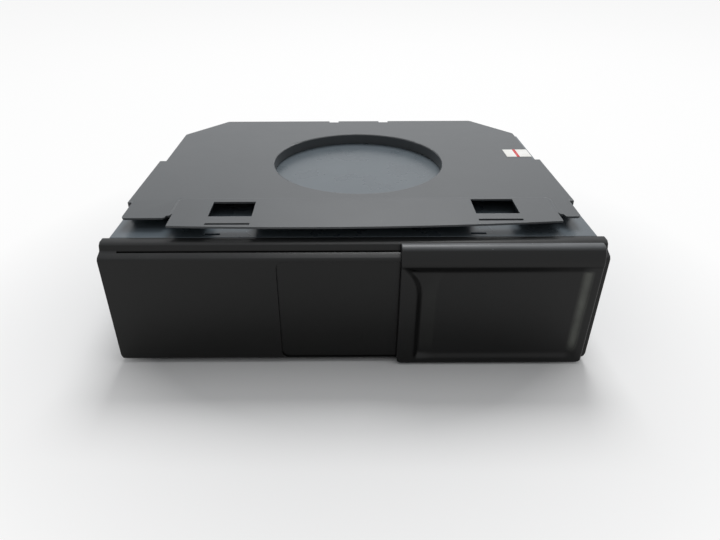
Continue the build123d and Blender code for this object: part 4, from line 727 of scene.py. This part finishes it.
def turned_screw(name, head_radius, head, shank_radius, shank, around=32):
    """Pan head screw along +Z, its head's underside at the origin, with a cross recess."""
    profile = [
        (0, -shank), (shank_radius * 0.6, -shank), (shank_radius, -shank + 0.4), (shank_radius, 0),
        (head_radius - 0.15, 0), (head_radius, 0.12), (head_radius, head * 0.45),
        (head_radius * 0.93, head * 0.72), (head_radius * 0.72, head * 0.93), (0, head),
    ]
    shape = bmesh.new()
    rings = []
    for radius, z in profile:
        if radius == 0:
            rings.append([shape.verts.new((0, 0, z * mm))] * around)
            continue
        ring = []
        for i in range(around):
            angle = 2 * math.pi * i / around
            spot = (radius * mm * math.cos(angle), radius * mm * math.sin(angle), z * mm)
            ring.append(shape.verts.new(spot))
        rings.append(ring)
    for low, high in zip(rings, rings[1:]):
        for i in range(around):
            j = (i + 1) % around
            shape.faces.new(list(dict.fromkeys((low[i], low[j], high[j], high[i]))))
    bmesh.ops.recalc_face_normals(shape, faces=shape.faces)
    for face in shape.faces:
        face.smooth = True
    mesh = bpy.data.meshes.new(name)
    shape.to_mesh(mesh)
    shape.free()
    screw = link(name, mesh)
    cross = bmesh.new()
    for angle in (0, math.pi / 2):
        bar = bmesh.ops.create_cube(cross, size=1.0)["verts"]
        for v in bar:
            taper = 1.0 if v.co.z > 0 else 0.55
            size = (head_radius * 1.15 * taper, head_radius * 0.26, head * 1.3)
            v.co = Vector([c * s for c, s in zip(v.co, size)]) * mm
        bmesh.ops.rotate(cross, verts=bar, cent=(0, 0, 0), matrix=Matrix.Rotation(angle, 3, "Z"))
        bmesh.ops.translate(cross, verts=bar, vec=(0, 0, head * 1.05 * mm))
    cutter_mesh = bpy.data.meshes.new("recess")
    cross.to_mesh(cutter_mesh)
    cross.free()
    cutter = link("recess", cutter_mesh)
    cut = screw.modifiers.new("recess", "BOOLEAN")
    cut.object = cutter
    cut.solver = "EXACT"
    cut.use_self = True
    screw = settled(screw)
    screw.data.set_sharp_from_angle(angle=math.radians(38))
    bpy.data.objects.remove(cutter)
    return screw


def sides(node, axis, outer):
    """Centres of a node's separate pieces, each at its end along an axis, with its facing.

    With outer 0 each piece faces away from the middle.
    """
    mesh = nodes[node].data
    shape = bmesh.new()
    shape.from_mesh(mesh)
    bmesh.ops.remove_doubles(shape, verts=shape.verts, dist=0.002 * mm)
    left, groups = set(shape.verts), []
    while left:
        stack, group = [left.pop()], []
        while stack:
            v = stack.pop()
            group.append(v.co.copy())
            for edge in v.link_edges:
                other = edge.other_vert(v)
                if other in left:
                    left.remove(other)
                    stack.append(other)
        groups.append(group)
    shape.free()
    places = []
    for group in groups:
        low = Vector([min(v[i] for v in group) for i in range(3)])
        high = Vector([max(v[i] for v in group) for i in range(3)])
        centre = (low + high) / 2
        way = Vector((0, 0, 0))
        way[axis] = outer if outer else math.copysign(1, centre[axis])
        end = centre.copy()
        end[axis] = high[axis] if way[axis] > 0 else low[axis]
        places.append((end, way))
    return places


def moved(places, distance):
    """The same places, each moved along its facing by a distance in mm."""
    return [(point + way * distance * mm, way) for point, way in places]


fasteners = fastener_plan()
springs = spring_plan()
screw_sizes = {                  # head radius, head, shank radius, shank; axis and facing
    "case_screws": ((2.8, 1.4, 1.5, 4.9), (0, 0)),
    "plate_screws": ((2.8, 1.4, 1.5, 4.9), (2, -1)),
    "transport_screws": ((4.0, 0.8, 2.0, 2.6), (2, -1)),
}
for node, (size, facing) in screw_sizes.items():
    screw = turned_screw("one_screw", *size)
    places = moved(sides(node, *facing), -size[1])
    placed(node[:-1] + "_set", fasteners, places, node, Fastener=screw, Finish=materials["bare_steel"])
    bpy.data.objects.remove(screw)

wire_radius, coil_radius, coil_turns = 0.5, 7.6, 5.0
spring_margin = wire_radius + 0.05
inner_end = min(abs(v.co.x) for v in nodes["damper_springs"].data.vertices)
span = (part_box("damper_springs")[1][0] - inner_end) / mm
placed(
    "damper_coils", springs, moved(sides("damper_springs", 0, 0), spring_margin - span), "damper_springs",
    Turns=coil_turns, Coil_radius=coil_radius * mm, Wire_radius=wire_radius * mm,
    Length=(span - 2 * spring_margin) * mm, Finish=materials["spring_steel"],
)


# ---------------------------------------------------------------- studio
def plain_floor(share):
    """Pale floor that keeps a soft shadow near the object; far off, a share of it shows plain white."""
    material, s, shader = new_material("floor_paint", roughness=0.9, specular=0.1)
    shade = s.ramp(s.noise(3, 2), 0.3, 0.7, 0.86, 0.89)
    s.feed(shader["Base Color"], s.mix(shade, rgb(0, 0, 0), rgb(1, 1, 1)))
    path = s.add("ShaderNodeLightPath").outputs
    seen = s.maths("MAXIMUM", path["Is Camera Ray"], path["Is Glossy Ray"])
    seen = s.maths("MAXIMUM", seen, path["Is Transmission Ray"])
    white = s.add("ShaderNodeEmission")
    blend = s.add("ShaderNodeMixShader")
    flat = s.add("ShaderNodeVectorMath", operation="LENGTH")
    s.wire(s.place(), flat.inputs[0])
    whiter = s.ramp(flat.outputs["Value"], 0.14, 0.27, 0.0, share)
    s.wire(s.maths("MULTIPLY", seen, whiter), blend.inputs["Fac"])
    s.wire(s.tree.nodes["Principled BSDF"].outputs["BSDF"], blend.inputs[1])
    s.wire(white.outputs["Emission"], blend.inputs[2])
    s.wire(blend.outputs["Shader"], s.tree.nodes["Material Output"].inputs["Surface"])
    mesh = bpy.data.meshes.new("floor")
    half = 4.0
    corners = [(-half, -half, 0), (half, -half, 0), (half, half, 0), (-half, half, 0)]
    mesh.from_pydata(corners, [], [(0, 1, 2, 3)])
    mesh.materials.append(material)
    floor = bpy.data.objects.new("floor", mesh)
    scene.collection.objects.link(floor)


def soft_box(name, place, target, size, power, tint=(1, 1, 1)):
    """Square area lamp at a place, facing a target."""
    lamp = bpy.data.lights.new(name, "AREA")
    lamp.size = size
    lamp.energy = power
    lamp.color = tint
    holder = bpy.data.objects.new(name, lamp)
    holder.location = place
    holder.rotation_euler = (Vector(target) - Vector(place)).to_track_quat("-Z", "Y").to_euler()
    scene.collection.objects.link(holder)


def studio_air(level):
    """World that lights softly and shows white to the camera and to gloss."""
    world = bpy.data.worlds.new("studio")
    world.use_nodes = True
    tree = world.node_tree
    back = tree.nodes["Background"]
    path = tree.nodes.new("ShaderNodeLightPath")
    seen = tree.nodes.new("ShaderNodeMath")
    seen.operation = "MAXIMUM"
    tree.links.new(path.outputs["Is Camera Ray"], seen.inputs[0])
    tree.links.new(path.outputs["Is Glossy Ray"], seen.inputs[1])
    both = tree.nodes.new("ShaderNodeMath")
    both.operation = "MAXIMUM"
    tree.links.new(seen.outputs[0], both.inputs[0])
    tree.links.new(path.outputs["Is Transmission Ray"], both.inputs[1])
    strength = tree.nodes.new("ShaderNodeMapRange")
    strength.inputs["To Min"].default_value = level
    strength.inputs["To Max"].default_value = 1.0
    tree.links.new(both.outputs[0], strength.inputs["Value"])
    tree.links.new(strength.outputs["Result"], back.inputs["Strength"])
    back.inputs["Color"].default_value = (0.97, 0.985, 1.0, 1.0)
    scene.world = world


def photo_camera():
    """Camera fitted to the photograph's edges."""
    data = bpy.data.cameras.new("photo_camera")
    data.sensor_width = 36.0
    data.lens = 28.69
    data.shift_x = 0.0203
    data.clip_start = 0.01
    camera = bpy.data.objects.new("photo_camera", data)
    camera.location = (-0.00357, -0.33879, 0.21072)
    camera.rotation_euler = [math.radians(a) for a in (59.066, 0.235, -0.034)]
    scene.collection.objects.link(camera)
    scene.camera = camera


plain_floor(0.9)
studio_air(0.3)
soft_box("back_box", (0.1, 0.75, 1.25), (0, 0, 0.05), 0.6, 13.0)
soft_box("top_box", (0.2, 0.0, 1.3), (0, 0, 0), 0.8, 3.0)
photo_camera()
scene.view_settings.view_transform = "Standard"
